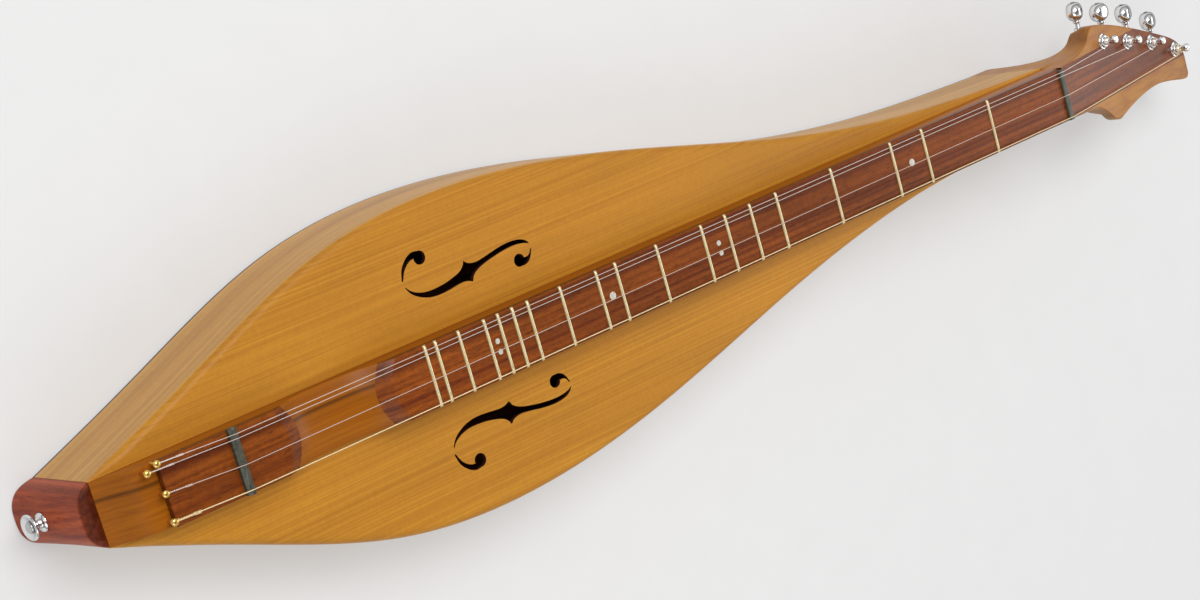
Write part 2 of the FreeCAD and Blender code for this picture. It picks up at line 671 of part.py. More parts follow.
def taut_wire(stops):
    """A straight-sided wire through (point, radius) stops; two stops at one point make a step."""
    rings = []
    for i, (point, r) in enumerate(stops):
        before = [p for p, _ in stops[:i] if (p - point).Length > RUN]
        after = [p for p, _ in stops[i:] if (p - point).Length > RUN]
        along = V(0, 0, 0)
        if before:
            along += (point - before[-1]).normalize()
        if after:
            along += (after[0] - point).normalize()
        rings.append(ring(point, along.normalize(), r))
    faces = [polygon(rings[0]), polygon(rings[-1])]
    for low, high in zip(rings, rings[1:]):
        for k in range(STRING_SIDES):
            a, b, c, d = low[k], low[(k + 1) % STRING_SIDES], high[(k + 1) % STRING_SIDES], high[k]
            faces += [polygon([a, b, c]), polygon([a, c, d])]
    wire = Part.Solid(Part.Shell(faces))
    if wire.Volume < 0:
        wire.reverse()
    return wire


def string(index):
    """A string from its loop on the pin, over the bridge and the nut, to its post."""
    r, nut_y, bridge_y, pin_y = STRINGS[index]
    head_s, head_y = TUNERS[index]
    pin = at(PIN_X[index], pin_y, BASE_TOP + PIN_RISE - 2 * r - LOOP_DROP)
    bridge_top = at(BRIDGE_X, bridge_y, string_height(BRIDGE_X) + r)
    nut_top = at(0, nut_y, string_height(0) + r)
    nut_back = at(-NUT_T, nut_y, string_height(0) + r)
    post = head_point(head_s - 0.5, head_y + POST_R + 3 * r + WIND_GAP, WIND_Z + r)
    along = (bridge_top - pin).normalize()
    loop_r = PIN_SHANK + r + 0.05
    start = pin + along * (loop_r + 0.6 * r)
    twist_end = start + along * TWIST
    wire = taut_wire([(start, 2 * r), (twist_end, 2 * r), (twist_end, r), (bridge_top, r),
                      (nut_top, r), (nut_back, r), (post, r)])
    return [wire, Part.makeTorus(loop_r, r, pin, along.cross(V(0, 1, 0)))]


def main():
    os.makedirs("parts", exist_ok=True)
    bass_side, melody_side = sides()
    save("soundboard", soundboard())
    save("back", back())
    save("bass_side", bass_side)
    save("melody_side", melody_side)
    save("soundboard_linings", *linings(BODY_DEPTH - PLATE - LINING_H))
    save("back_linings", *linings(PLATE))
    save("soundboard_braces", *braces((330, 430, 640), BODY_DEPTH - PLATE - 9, 9))
    save("back_braces", *braces((200, 380, 600), PLATE, 9))
    save("tail_block", tail_block())
    save("tail_cap", tail_cap())
    save("strap_button", strap_button())
    save("strap_button_screw", strap_screw())
    save("peghead", peghead())
    save("peghead_overlay", peghead_overlay())
    save("fretboard_base", fretboard_base())
    save("fingerboard", fingerboard())
    save("bridge_island", bridge_island())
    save("frets", *frets())
    save("position_dots", *position_dots())
    save("nut", nut())
    save("bridge", bridge())
    save("string_pins", *string_pins())
    names = ("melody_string_1", "melody_string_2", "middle_string", "bass_string")
    for i, name in enumerate(names):
        save(name, *string(i))
    bushings = []
    screws = []
    for i, (s, y) in enumerate(TUNERS):
        frame = head_frame(s, y)
        tag = "_" + str(i + 1)
        bushings.append(placed(tuner_bushing(), frame))
        screws.append(placed(case_screw(), frame))
        save("tuner_case" + tag, placed(tuner_case(), frame))
        save("tuner_post" + tag, placed(tuner_post(), frame))
        save("worm_wheel" + tag, placed(worm_wheel(), frame))
        save("worm_shaft" + tag, placed(worm_shaft(), frame))
        save("tuner_button" + tag, placed(tuner_button(BUTTON_TURN[i]), frame))
        save("button_screw" + tag, placed(button_screw(), frame))
        save("string_winding" + tag, placed(winding(STRINGS[i][0], WIND_TURNS[i]), frame))
    save("tuner_bushings", *bushings)
    save("tuner_screws", *screws)


main()
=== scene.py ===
"""Looks of a teardrop mountain dulcimer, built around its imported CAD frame.

Lengths here are in millimetres and become metres when a mesh is made. Stations are distances
from the nut towards the tail. +X runs to the tail, -Y is the melody side and +Z is up.
"""
from math import atan2, cos, pi, radians, sin, sqrt, tan

import bmesh
import bpy
from mathutils import Matrix, Vector

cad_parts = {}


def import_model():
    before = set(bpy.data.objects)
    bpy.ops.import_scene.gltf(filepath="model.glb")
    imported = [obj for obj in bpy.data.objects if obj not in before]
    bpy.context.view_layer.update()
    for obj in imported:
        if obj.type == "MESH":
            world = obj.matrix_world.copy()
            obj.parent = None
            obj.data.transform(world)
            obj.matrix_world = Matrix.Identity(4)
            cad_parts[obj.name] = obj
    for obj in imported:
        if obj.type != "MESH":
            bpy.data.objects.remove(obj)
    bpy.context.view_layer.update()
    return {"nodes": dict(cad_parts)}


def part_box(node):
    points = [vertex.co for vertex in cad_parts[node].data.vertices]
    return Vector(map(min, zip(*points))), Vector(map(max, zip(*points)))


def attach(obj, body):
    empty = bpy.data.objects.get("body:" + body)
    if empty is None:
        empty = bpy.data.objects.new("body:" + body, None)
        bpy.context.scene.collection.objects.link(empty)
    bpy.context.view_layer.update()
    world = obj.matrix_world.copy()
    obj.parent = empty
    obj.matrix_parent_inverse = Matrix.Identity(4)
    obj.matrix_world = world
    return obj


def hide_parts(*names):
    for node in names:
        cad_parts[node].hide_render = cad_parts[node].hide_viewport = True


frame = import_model()
MM = 0.001
ROOT = "instrument"


def cad_low(node):
    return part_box(node)[0] / MM


def cad_high(node):
    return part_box(node)[1] / MM


# ---- sizes, from the frame where it holds them ----
NUT_X = cad_low("fingerboard").x
BODY_FRONT = cad_low("fretboard_base").x - NUT_X
BODY_TAIL = cad_high("fretboard_base").x - NUT_X
BODY_DEPTH = cad_high("soundboard").z
PLATE = BODY_DEPTH - cad_low("soundboard").z
BOARD_HALF = cad_high("fretboard_base").y
BOARD_TOP = cad_high("fingerboard").z
BASE_TOP = cad_low("fingerboard").z
FRET_TOP = cad_high("frets").z
SIDE = 2.5  # the sides' thickness
# half-width of the body at stations from the nut
BODY_PROFILE = ((BODY_FRONT, 20.4), (90, 24.3), (180, 33.6), (280, 53.3), (400, 82.5),
                (520, 97.6), (620, 86.4), (720, 48.0), (BODY_TAIL, 19.2))
# the strum hollow: centre-line profile over the fingerboard's top, and its crown's radius
HOLLOW = ((598.0, 3.6), (606.5, -0.4), (615.0, -5.0), (628.0, -8.4), (642.0, -9.2),
          (656.0, -8.8), (664.5, -7.2), (671.0, -4.4), (678.5, -0.3), (687.0, 4.4))
CROWN = 52.0
HOLLOW_MIDDLE = 642.0
ISLAND_TAIL = 760.0
RAMP_START = 766.0
# strings from melody to bass: radius, and Y at the nut, the bridge and the tail pin
STRINGS = ((0.18, -16.2, -16.4, -18.0), (0.18, -13.3, -13.7, -15.1),
           (0.20, 1.0, 1.7, -0.9), (0.34, 17.2, 16.3, 15.3))
BRIDGE_X = 712.0
BRIDGE_RISE = 3.4
NUT_T = 5.0
NUT_RISE = 0.6
PIN_X = (761.4, 768.4, 761.7, 761.9)
PIN_SHANK = 1.2
PIN_HEAD = 2.3
PIN_RISE = 6.8
LOOP_DROP = 0.25
TWIST = 15.0
TILT = radians(12.0)
HEAD_TOP = BOARD_TOP - 0.3
HEAD_T = 9.8
TUNERS = ((67.6, -21.5), (103.0, -12.4), (139.0, -2.7), (174.0, 11.6))
BUTTON_TURN = (18.0, -4.0, 10.0, 14.0)
POST_R = 3.0
WORM_X = -6.2
WORM_Z = -13.4
BUTTON_Y = 26.6
WIND_Z = 3.2
WIND_TURNS = (4, 4, 4, 3)
AXIS_R = 1e-4  # stands for a point on a lathe's axis


def at(station, y=0.0, z=0.0):
    return Vector((NUT_X + station, y, z))


def head_point(s, y, n=0.0):
    """A point on the peghead: s along its face, n above it."""
    return Vector((NUT_X - NUT_T - s * cos(TILT) - n * sin(TILT), y,
                   HEAD_TOP - s * sin(TILT) + n * cos(TILT)))


def head_matrix(s, y):
    """Frame of one tuner: x to the tip, y to the melody side, z off the face."""
    turn = Matrix(((-cos(TILT), 0, -sin(TILT)), (0, -1, 0),
                   (-sin(TILT), 0, cos(TILT)))).to_4x4()
    return Matrix.Translation(head_point(s, y)) @ turn


# ---- curves ----
def natural_spline(points):
    """Cubic spline through (x, y) points, as a function of x."""
    xs = [p[0] for p in points]
    ys = [p[1] for p in points]
    n = len(xs)
    lower, diagonal, upper, right = [0.0] * n, [1.0] * n, [0.0] * n, [0.0] * n
    for i in range(1, n - 1):
        left, ahead = xs[i] - xs[i - 1], xs[i + 1] - xs[i]
        lower[i], diagonal[i], upper[i] = left, 2 * (left + ahead), ahead
        right[i] = 6 * ((ys[i + 1] - ys[i]) / ahead - (ys[i] - ys[i - 1]) / left)
    for i in range(1, n):
        share = lower[i] / diagonal[i - 1]
        diagonal[i] -= share * upper[i - 1]
        right[i] -= share * right[i - 1]
    bend = [0.0] * n
    for i in range(n - 1, -1, -1):
        bend[i] = (right[i] - upper[i] * (bend[i + 1] if i < n - 1 else 0.0)) / diagonal[i]

    def value(x):
        i = max(k for k in range(n - 1) if xs[k] <= x or k == 0)
        h = xs[i + 1] - xs[i]
        a, b = xs[i + 1] - x, x - xs[i]
        return ((bend[i] * a ** 3 + bend[i + 1] * b ** 3) / (6 * h)
                + (ys[i] / h - bend[i] * h / 6) * a + (ys[i + 1] / h - bend[i + 1] * h / 6) * b)
    return value


def smooth_path(points, steps=6):
    """Catmull-Rom points through a list of points."""
    points = [Vector(p) for p in points]
    ends = [2 * points[0] - points[1]] + points + [2 * points[-1] - points[-2]]
    path = []
    for a, b, c, d in zip(ends, ends[1:], ends[2:], ends[3:]):
        for k in range(steps):
            t = k / steps
            path.append(0.5 * (2 * b + (c - a) * t + (2 * a - 5 * b + 4 * c - d) * t * t
                               + (3 * b - a - 3 * c + d) * t ** 3))
    return path + [points[-1]]


def flat_path(points, steps):
    """smooth_path for (x, y) points."""
    return [tuple(p[:2]) for p in smooth_path([(*p, 0) for p in points], steps)]


def spread(low, high, count):
    return [low + (high - low) * k / (count - 1) for k in range(count)]


# ---- meshes ----
def new_object(name, data):
    o = bpy.data.objects.new(name, data)
    bpy.context.scene.collection.objects.link(o)
    return o


def finish_piece(o, materials, node, sharp, body=ROOT):
    """Gives a piece its materials and its place in the frame."""
    for material in materials:
        o.data.materials.append(material)
    o.data.shade_smooth()
    o.data.set_sharp_from_angle(angle=radians(sharp))
    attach(o, body)
    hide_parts(node)


def mesh_piece(name, verts, faces, material, node, slot, sharp=32.0, body=ROOT):
    """A mesh object from points in millimetres."""
    mesh = bpy.data.meshes.new(name)
    mesh.from_pydata([tuple(Vector(v) * MM) for v in verts], [], faces)
    bm = bmesh.new()
    bm.from_mesh(mesh)
    bmesh.ops.remove_doubles(bm, verts=bm.verts, dist=1e-7)
    bmesh.ops.dissolve_degenerate(bm, edges=bm.edges, dist=1e-8)
    bmesh.ops.recalc_face_normals(bm, faces=bm.faces)
    bm.to_mesh(mesh)
    bm.free()
    finish_piece(new_object(name, mesh), [material], node, sharp, body)


def loft(rings):
    """Faces between closed rings with equal counts, with end caps."""
    verts = [v for ring in rings for v in ring]
    n = len(rings[0])
    faces = []
    for i in range(len(rings) - 1):
        for k in range(n):
            a, b = i * n + k, i * n + (k + 1) % n
            faces.append((a, b, b + n, a + n))
    faces.append(tuple(reversed(range(n))))
    faces.append(tuple(range((len(rings) - 1) * n, len(rings) * n)))
    return verts, faces


def circle(count):
    """Angles evenly round a full turn."""
    return [2 * pi * k / count for k in range(count)]


def lathe(profile, matrix, sides):
    """Turns (radius, height) points about Z and places them with matrix."""
    rings = []
    for r, h in profile:
        r = max(r, AXIS_R)
        rings.append([matrix @ Vector((r * cos(a), r * sin(a), h)) for a in circle(sides)])
    return loft(rings)


def rounded(points, radius, steps=4):
    """A lathe profile with its corners rounded."""
    pts = [Vector(p) for p in points]
    out = [pts[0]]
    for a, b, c in zip(pts, pts[1:], pts[2:]):
        reach = min(radius, 0.45 * (b - a).length, 0.45 * (c - b).length)
        start = b + (a - b).normalized() * reach
        end = b + (c - b).normalized() * reach
        for k in range(steps + 1):
            t = k / steps
            out.append((1 - t) ** 2 * start + 2 * t * (1 - t) * b + t * t * end)
    return out + [pts[-1]]


def tube(path, radius, sides):
    """Rings of one radius along a path in millimetres."""
    path = [Vector(p) for p in path]
    normal = None
    rings = []
    for i, p in enumerate(path):
        ahead = path[min(i + 1, len(path) - 1)] - path[max(i - 1, 0)]
        along = ahead.normalized()
        if normal is None:
            normal = along.orthogonal().normalized()
        normal = (normal - along * normal.dot(along)).normalized()
        other = along.cross(normal)
        rings.append([p + radius * (normal * cos(a) + other * sin(a))
                      for a in circle(sides)])
    return loft(rings)


def joined(*parts):
    """Several (verts, faces) as one."""
    verts, faces = [], []
    for vs, fs in parts:
        base = len(verts)
        verts += list(vs)
        faces += [tuple(base + i for i in f) for f in fs]
    return verts, faces


# ---- node helpers ----
def linear(r, g, b):
    """A display colour, 0 to 255, as linear light."""
    out = []
    for c in (r, g, b):
        c /= 255
        out.append(c / 12.92 if c <= 0.04045 else ((c + 0.055) / 1.055) ** 2.4)
    return (*out, 1.0)


def grey(v):
    return (v, v, v, 1.0)


def dimmed(colour, share):
    return tuple(share * c for c in colour[:3]) + (1.0,)


def fill_ramp(ramp, stops):
    """Sets a colour ramp's (place, colour) stops."""
    while len(ramp.elements) < len(stops):
        ramp.elements.new(0.5)
    for element, (place, colour) in zip(ramp.elements, stops):
        element.position = place
        element.color = colour


# a mix node's colour sockets, by number
MIX_FACTOR, MIX_A, MIX_B, MIX_RESULT = 0, 6, 7, 2


class Nodes:
    """A short way to build one material's node tree."""

    def __init__(self, name):
        self.material = bpy.data.materials.new(name)
        self.material.use_nodes = True
        self.tree = self.material.node_tree
        self.shader = self.tree.nodes["Principled BSDF"]

    def add(self, kind, inputs, **settings):
        """A node with its settings, and inputs that are linked or set, by name or number."""
        node = self.tree.nodes.new("ShaderNode" + kind)
        for key, value in settings.items():
            setattr(node, key, value)
        for key, value in inputs.items():
            if isinstance(value, bpy.types.NodeSocket):
                self.tree.links.new(value, node.inputs[key])
            else:
                node.inputs[key].default_value = value
        return node

    def feed(self, source, socket):
        """Links a source to one of the shader's inputs."""
        self.tree.links.new(source, self.shader.inputs[socket])

    def coords(self, scale, shift=(0.0, 0.0, 0.0)):
        place = self.add("TexCoord", {}).outputs["Object"]
        inputs = {"Vector": place, "Scale": scale, "Location": shift}
        return self.add("Mapping", inputs).outputs["Vector"]

    def noise(self, vector, detail=3.0, rough=0.55, distortion=0.0):
        inputs = {"Vector": vector, "Scale": 1.0, "Detail": detail, "Roughness": rough,
                  "Distortion": distortion}
        return self.add("TexNoise", inputs).outputs["Fac"]

    def ramp(self, factor, stops):
        node = self.add("ValToRGB", {"Fac": factor})
        fill_ramp(node.color_ramp, stops)
        return node.outputs["Color"]

    def mix(self, factor, a, b, blend="MIX"):
        inputs = {MIX_FACTOR: factor, MIX_A: a, MIX_B: b}
        return self.add("Mix", inputs, data_type="RGBA", blend_type=blend).outputs[MIX_RESULT]

    def math(self, operation, a, b=0.0):
        return self.add("Math", {0: a, 1: b}, operation=operation).outputs[0]

    def bump(self, height, strength, distance):
        inputs = {"Height": height, "Strength": strength, "Distance": distance}
        self.feed(self.add("Bump", inputs).outputs["Normal"], "Normal")

    def set(self, **values):
        for key, value in values.items():
            self.shader.inputs[key.replace("_", " ")].default_value = value


# ---- wood ----
# each noise's frequency along the grain and across it, a metre, its detail and its roughness
FIBRES = (22.0, 2600.0, 2.0, 0.6)
CLOUD = (7.0, 26.0, 2.0, 0.5)
RAYS = (420.0, 210.0, 3.0, 0.65)
PATCHES = (9.0, 34.0, 3.0, 0.6)
PORES = (140.0, 1900.0, 1.0, 0.4)
PITH_WANDER = (8.0, 8.0, 3.0, 0.55)
LINE_RUN = 1.6  # the growth lines' frequency along the grain
STREAK_RUN = 1.1
PITH_HALF = 0.0016  # metres over which the dark growth line fades out
PITH_SWAY = 0.003
GLOSS_SWAY = 0.14  # how far the roughness follows the growth lines
GRAIN_DEPTH = 0.00015
COAT_ROUGH = 0.18


class Grain(Nodes):
    """Nodes whose noises are drawn out along the grain."""

    def __init__(self, name, axis, calm, seed):
        super().__init__(name)
        self.long_way, self.calm_way = "XYZ".index(axis), "XYZ".index(calm[0])
        self.calm_share = calm[1]
        self.shift = (seed, seed * 0.7, seed * 1.3)

    def along_grain(self, along, across, detail, rough, distortion=0.0):
        scale = [across, across, across]
        scale[self.calm_way] = max(along, across * self.calm_share)
        scale[self.long_way] = along
        return self.noise(self.coords(scale, self.shift), detail, rough, distortion)

    def shade(self, colour, factor, low, high):
        """Multiplies a colour by a grey, which runs from low to high, each (factor, grey)."""
        greys = self.ramp(factor, [(place, grey(level)) for place, level in (low, high)])
        return self.mix(1.0, colour, greys, "MULTIPLY")

    def pith_line(self, colour, y):
        """Darkens one growth line, which wanders about a Y in millimetres."""
        across = self.add("SeparateXYZ", {"Vector": self.coords((1, 1, 1))}).outputs["Y"]
        sway = self.math("SUBTRACT", self.along_grain(*PITH_WANDER), 0.5)
        off = self.math("SUBTRACT", across, y * MM)
        away = self.math("ABSOLUTE", self.math("ADD", off, self.math("MULTIPLY", sway, PITH_SWAY)))
        return self.shade(colour, self.math("DIVIDE", away, PITH_HALF), (0.15, 0.45), (1.0, 1.0))


def wood(name, light, dark, streak, line=1.3, line_share=0.5, streak_share=0.5, axis="X",
         fleck=0.0, rough=0.36, coat=0.1, seed=0.0, broad=28.0, shine=0.35, ray=0.0, bump=0.1,
         end=0.6, edge=1.0, patch=0.0, pith=None, calm=("Y", 1.0)):
    """Straight-grained varnished wood, its grain along one axis.

    light and dark are display colours, 0 to 255, between growth lines, line apart in
    millimetres; a larger line_share blurs them. streak is the tone of lengthwise streaks, broad
    apart; fleck darkens short open pores; ray adds short marks across the grain; end darkens
    faces square to the grain, partly as end grain and partly as painted shade, and edge paints
    shade on those that face Y; patch adds uneven tone; pith is the Y of one dark growth line;
    calm is an axis and the share of the grain's change left along it, so that lines follow a
    bent side or run down a slope.
    """
    n = Grain(name, axis, calm, seed)
    light, dark, streak = linear(*light), linear(*dark), linear(*streak)
    lines = n.along_grain(LINE_RUN, 1000 / (line * 2.0), 2.0, 0.5)
    fibres = n.along_grain(*FIBRES)
    streaks = n.along_grain(STREAK_RUN, 1000 / broad, 3.0, 0.55)
    tone = n.ramp(lines, [(0.5 - line_share * 0.36, dark), (0.5 + line_share * 0.2, light)])
    band = n.ramp(streaks, [(0.42, grey(0.0)), (0.68, grey(1.0))])
    colour = n.mix(n.math("MULTIPLY", band, streak_share), tone, streak)
    colour = n.shade(colour, fibres, (0.30, 0.90), (0.70, 1.06))
    colour = n.shade(colour, n.along_grain(*CLOUD), (0.30, 0.95), (0.70, 1.05))
    if ray:
        colour = n.shade(colour, n.along_grain(*RAYS), (0.3, 1.0 - ray), (0.7, 1.0 + ray))
    if patch:
        uneven = n.along_grain(*PATCHES, distortion=0.4)
        colour = n.shade(colour, uneven, (0.34, 1.0 - patch), (0.66, 1.0 + patch))
    if pith is not None:
        colour = n.pith_line(colour, pith)
    normal = n.tree.nodes["Texture Coordinate"].outputs["Normal"]
    facing = n.add("SeparateXYZ", {"Vector": normal})
    # painted shade: faces square to the grain (also as end grain) and faces along Y are darkened by the
    # way they point
    for way, end_grain_and_painted_shade in ((axis, end), ("Y", edge)):
        square = n.math("ABSOLUTE", facing.outputs[way])
        colour = n.shade(colour, square, (0.25, 1.0), (0.85, end_grain_and_painted_shade))
    height = fibres
    if fleck:
        pores = n.along_grain(*PORES)
        holes = n.ramp(pores, [(0.32, grey(1.0 - fleck)), (0.44, grey(1.0))])
        colour = n.mix(1.0, colour, holes, "MULTIPLY")
        height = n.math("ADD", holes, n.math("MULTIPLY", fibres, 0.4))
    n.feed(colour, "Base Color")
    sway = n.math("MULTIPLY", n.math("SUBTRACT", lines, 0.5), GLOSS_SWAY)
    n.feed(n.math("ADD", sway, rough), "Roughness")
    n.bump(height, bump, GRAIN_DEPTH)
    n.set(Specular_IOR_Level=shine, Coat_Weight=coat, Coat_Roughness=COAT_ROUGH)
    return n.material


# end and edge below set painted shade by the way a face points; end also stands for end grain
WOODS = {
    "soundboard": wood(
        "cedar_soundboard", (200, 137, 30), (174, 111, 15), (164, 98, 9), line=0.7, line_share=0.9,
        streak_share=0.2, rough=0.46, coat=0.0, shine=0.38, seed=3.1, broad=60, ray=0.05,
        patch=0.02, end=1.0, calm=("Z", 0.3)),
    "side": wood(
        "cherry_side", (210, 156, 72), (188, 134, 54), (166, 110, 36), line=2.0, streak_share=0.6,
        rough=0.42, coat=0.05, shine=0.3, seed=8.2, broad=18, ray=0.05, patch=0.06, end=1.0,
        calm=("Y", 0.0)),
    "back": wood(
        "walnut_back", (92, 46, 28), (66, 32, 20), (52, 24, 14), line=2.6, rough=0.38, seed=5.4,
        fleck=0.35, broad=22),
    "inner": wood(
        "spruce_inside", (214, 186, 140), (196, 164, 116), (188, 152, 104), line=1.8, rough=0.6,
        coat=0.0, seed=1.7),
    "cap": wood(
        "padauk_cap", (180, 83, 44), (134, 49, 24), (96, 32, 15), line=1.5, line_share=0.6,
        streak_share=0.6, axis="Z", fleck=0.25, rough=0.45, coat=0.0, shine=0.18, seed=2.2,
        broad=12, end=0.35),
    "head": wood(
        "cherry_head", (182, 122, 44), (164, 102, 30), (146, 84, 20), line=2.0, line_share=0.4,
        rough=0.42, coat=0.05, shine=0.3, seed=6.6, broad=18, ray=0.04, end=0.5),
    "base": wood(
        "cherry_board", (168, 96, 9), (142, 76, 5), (122, 60, 3), line=1.1, line_share=0.8,
        streak_share=0.35, rough=0.34, coat=0.0, shine=0.17, seed=9.3, broad=16, end=0.8,
        pith=-8.0, calm=("Z", 0.15)),
    "overlay": wood(
        "bloodwood_overlay", (144, 72, 13), (99, 39, 5), (78, 26, 3), line=1.5, line_share=0.6,
        fleck=0.45, rough=0.32, coat=0.0, shine=0.22, seed=4.8, broad=11, bump=0.16, patch=0.16,
        ray=0.12, end=0.7, edge=0.6, calm=("Z", 0.15)),
}


# ---- metal and the rest ----
SMUDGE = 130
BRUSH_MARKS = (60, 900, 900)
SPOTS = 400
WAVE_STEP = 0.31 / 2  # turns a pitch in metres into the wave node's scale


def metal(name, colour, rough, brush=0.0, metallic=1.0, rim=1.0):
    """Smooth metal; brush adds marks along X, and rim below 1 darkens it where seen at a slant."""
    n = Nodes(name)
    smudge = n.noise(n.coords((SMUDGE, SMUDGE, SMUDGE)))
    level = n.math("ADD", n.math("MULTIPLY", smudge, 0.07), rough - 0.03)
    if brush:
        marks = n.noise(n.coords(BRUSH_MARKS), detail=2.0)
        level = n.math("ADD", level, n.math("MULTIPLY", marks, brush))
    n.feed(level, "Roughness")
    n.feed(n.ramp(smudge, [(0.25, dimmed(colour, 0.93)), (0.75, colour)]), "Base Color")
    n.set(Metallic=metallic, Specular_Tint=grey(rim))
    return n.material


def plastic(name, light, dark, rough):
    n = Nodes(name)
    spots = n.noise(n.coords((SPOTS, SPOTS, SPOTS)))
    n.feed(n.ramp(spots, [(0.3, dark), (0.7, light)]), "Base Color")
    n.feed(n.math("ADD", n.math("MULTIPLY", spots, 0.12), rough - 0.06), "Roughness")
    n.bump(spots, 0.05, 0.0001)
    return n.material


def pearl():
    n = Nodes("pearl_dots")
    swirl = n.noise(n.coords((420, 420, 420)), detail=2.0, distortion=1.6)
    tones = [(0.3, linear(172, 164, 150)), (0.5, linear(214, 208, 196)),
             (0.7, linear(184, 188, 182))]
    n.feed(n.ramp(swirl, tones), "Base Color")
    n.set(Roughness=0.22, Coat_Weight=0.5, Sheen_Weight=0.1)
    return n.material


def wound(name, colour, rough, pitch):
    """A wrapped string: fine rings along its length, pitch apart in millimetres."""
    n = Nodes(name)
    inputs = {"Vector": n.coords((1, 1, 1)), "Scale": WAVE_STEP / (pitch * MM), "Distortion": 0.0}
    rings = n.add("TexWave", inputs, bands_direction="X").outputs["Fac"]
    # painted shade: the colour is dimmed in the grooves between the wraps
    n.feed(n.ramp(rings, [(0.2, dimmed(colour, 0.75)), (0.6, colour)]), "Base Color")
    n.bump(rings, 0.6, 0.0001)
    n.set(Metallic=0.4, Roughness=rough)
    return n.material


def dark_hole_wall():
    """Dark reddish-brown on the sound holes' cut edges."""
    n = Nodes("hole_edge")
    fibres = n.noise(n.coords((200, 200, 900)), detail=2.0)
    n.feed(n.ramp(fibres, [(0.3, linear(38, 13, 8)), (0.7, linear(66, 25, 14))]), "Base Color")
    n.set(Roughness=0.6)
    return n.material


CHROME = metal("chrome_plate", grey(0.82), 0.09, rim=0.35)
STEEL = metal("screw_steel", grey(0.55), 0.28, brush=0.1)
BRASS = metal("pin_brass", linear(238, 196, 108), 0.20)
NICKEL = metal("fret_wire", linear(240, 226, 178), 0.28, brush=0.08, metallic=0.7)
STRING_STEEL = metal("plain_string", linear(240, 226, 218), 0.30, metallic=0.5)
STRING_FINE = metal("fine_string", linear(232, 208, 194), 0.30, metallic=0.5)
STRING_BRONZE = wound("wrapped_string", linear(255, 230, 178), 0.34, 0.30)
EBONY = plastic("nut_composite", linear(80, 80, 66), linear(52, 53, 44), 0.34)
PEARL = pearl()
HOLE_EDGE = dark_hole_wall()

# ---- body ----
STATIONS = spread(BODY_FRONT, BODY_TAIL, 161)
RIM_ROUND = 5.5
BACK_ROUND = 1.2
SCRAPED = 0.05  # how far the sides are scraped inside the CAD outline
body_curve = natural_spline(BODY_PROFILE)


def half_width(s):
    return body_curve(s) - SCRAPED


def rim_round(s):
    """Radius of the soundboard's round-over, which fades where the fretboard nears the rim."""
    return max(0.5, min(RIM_ROUND, 0.6 * (half_width(s) - BOARD_HALF)))


def rim_inset(s, depth):
    """How far the rim is drawn in at a depth below the soundboard's top."""
    r = rim_round(s)
    return r - sqrt(r * r - (r - depth) ** 2) if depth < r else 0.0


def outline(inset, z):
    """The body's outline as one ring, drawn in by inset, a number or a function of the station."""
    def y(s):
        return half_width(s) - (inset(s) if callable(inset) else inset)
    bass = [at(s, y(s), z) for s in STATIONS]
    return bass + [Vector((p.x, -p.y, z)) for p in reversed(bass)]


# one f-hole, as (station, Y) outlines: two round eyes with curled tails, and a nicked stem
BIG_EYE = (550.4, 64.0, 4.2)
BIG_TAIL = (((550.4, 68.2), (555.2, 68.6), (560.4, 66.0), (564.8, 61.0), (566.9, 54.5)),
            ((566.0, 54.2), (563.4, 59.2), (560.6, 62.2), (557.4, 64.1), (554.4, 64.6)))
SMALL_EYE = (482.2, 39.2, 4.0)
SMALL_TAIL = (((482.2, 35.2), (477.6, 35.5), (473.8, 38.2), (471.3, 43.2)),
              ((472.2, 43.4), (473.6, 41.0), (475.9, 39.7), (478.4, 39.8)))
STEM = (((566.0, 50.1), (563.3, 45.9), (559.0, 42.6), (554.0, 40.3), (548.9, 39.0), (543.1, 38.6),
         (536.7, 39.0), (531.1, 39.7), (526.3, 40.1), (522.4, 39.7), (518.7, 38.2)),
        ((517.3, 41.0), (514.7, 43.1), (510.4, 44.9), (503.5, 46.6), (496.2, 47.9), (489.6, 48.7),
         (483.4, 49.0), (478.0, 48.5), (474.1, 47.5), (471.6, 46.3)),
        ((472.6, 48.2), (475.2, 50.1), (479.4, 51.5), (485.4, 52.1), (492.0, 51.8), (499.0, 50.8),
         (505.6, 49.6), (511.3, 48.8), (515.9, 49.0), (519.2, 50.2), (521.4, 52.2)),
        ((522.5, 50.0), (524.7, 47.9), (528.2, 46.2), (533.5, 44.8), (538.6, 43.8), (544.2, 43.3),
         (549.7, 43.2), (554.5, 43.8), (559.2, 45.3), (563.1, 47.7), (565.4, 50.4)))


def curled_eye(eye, tail):
    """Outline of a round eye joined to its curled tail, as (station, Y) points."""
    cx, cy, r = eye
    outer, inner = [flat_path(points, 5) for points in tail]
    tip = inner[0]

    def turn(point):
        return atan2(point[1] - cy, point[0] - cx)

    # the arc runs from the inner curve's end round the far side to the outer curve's start
    a0, a1 = turn(inner[-1]), turn(outer[0])
    away = turn((2 * cx - tip[0], 2 * cy - tip[1]))
    way = 1 if (away - a0) % (2 * pi) < (a1 - a0) % (2 * pi) else -1
    span = (way * (a1 - a0)) % (2 * pi)
    arc = [(cx + r * cos(a0 + way * span * k), cy + r * sin(a0 + way * span * k))
           for k in spread(0, 1, 30)[1:-1]]
    return outer + inner + arc


HOLES = [curled_eye(BIG_EYE, BIG_TAIL), curled_eye(SMALL_EYE, SMALL_TAIL),
         [point for run in STEM for point in flat_path(run, 4)]]


def strip_faces(bm, first, second):
    """Faces between two rings of points."""
    n = len(first)
    return [bm.faces.new((first[k], first[(k + 1) % n], second[(k + 1) % n], second[k]))
            for k in range(n)]


def ring_edges(bm, ring):
    return [bm.edges.get(pair) for pair in zip(ring, ring[1:] + ring[:1])]


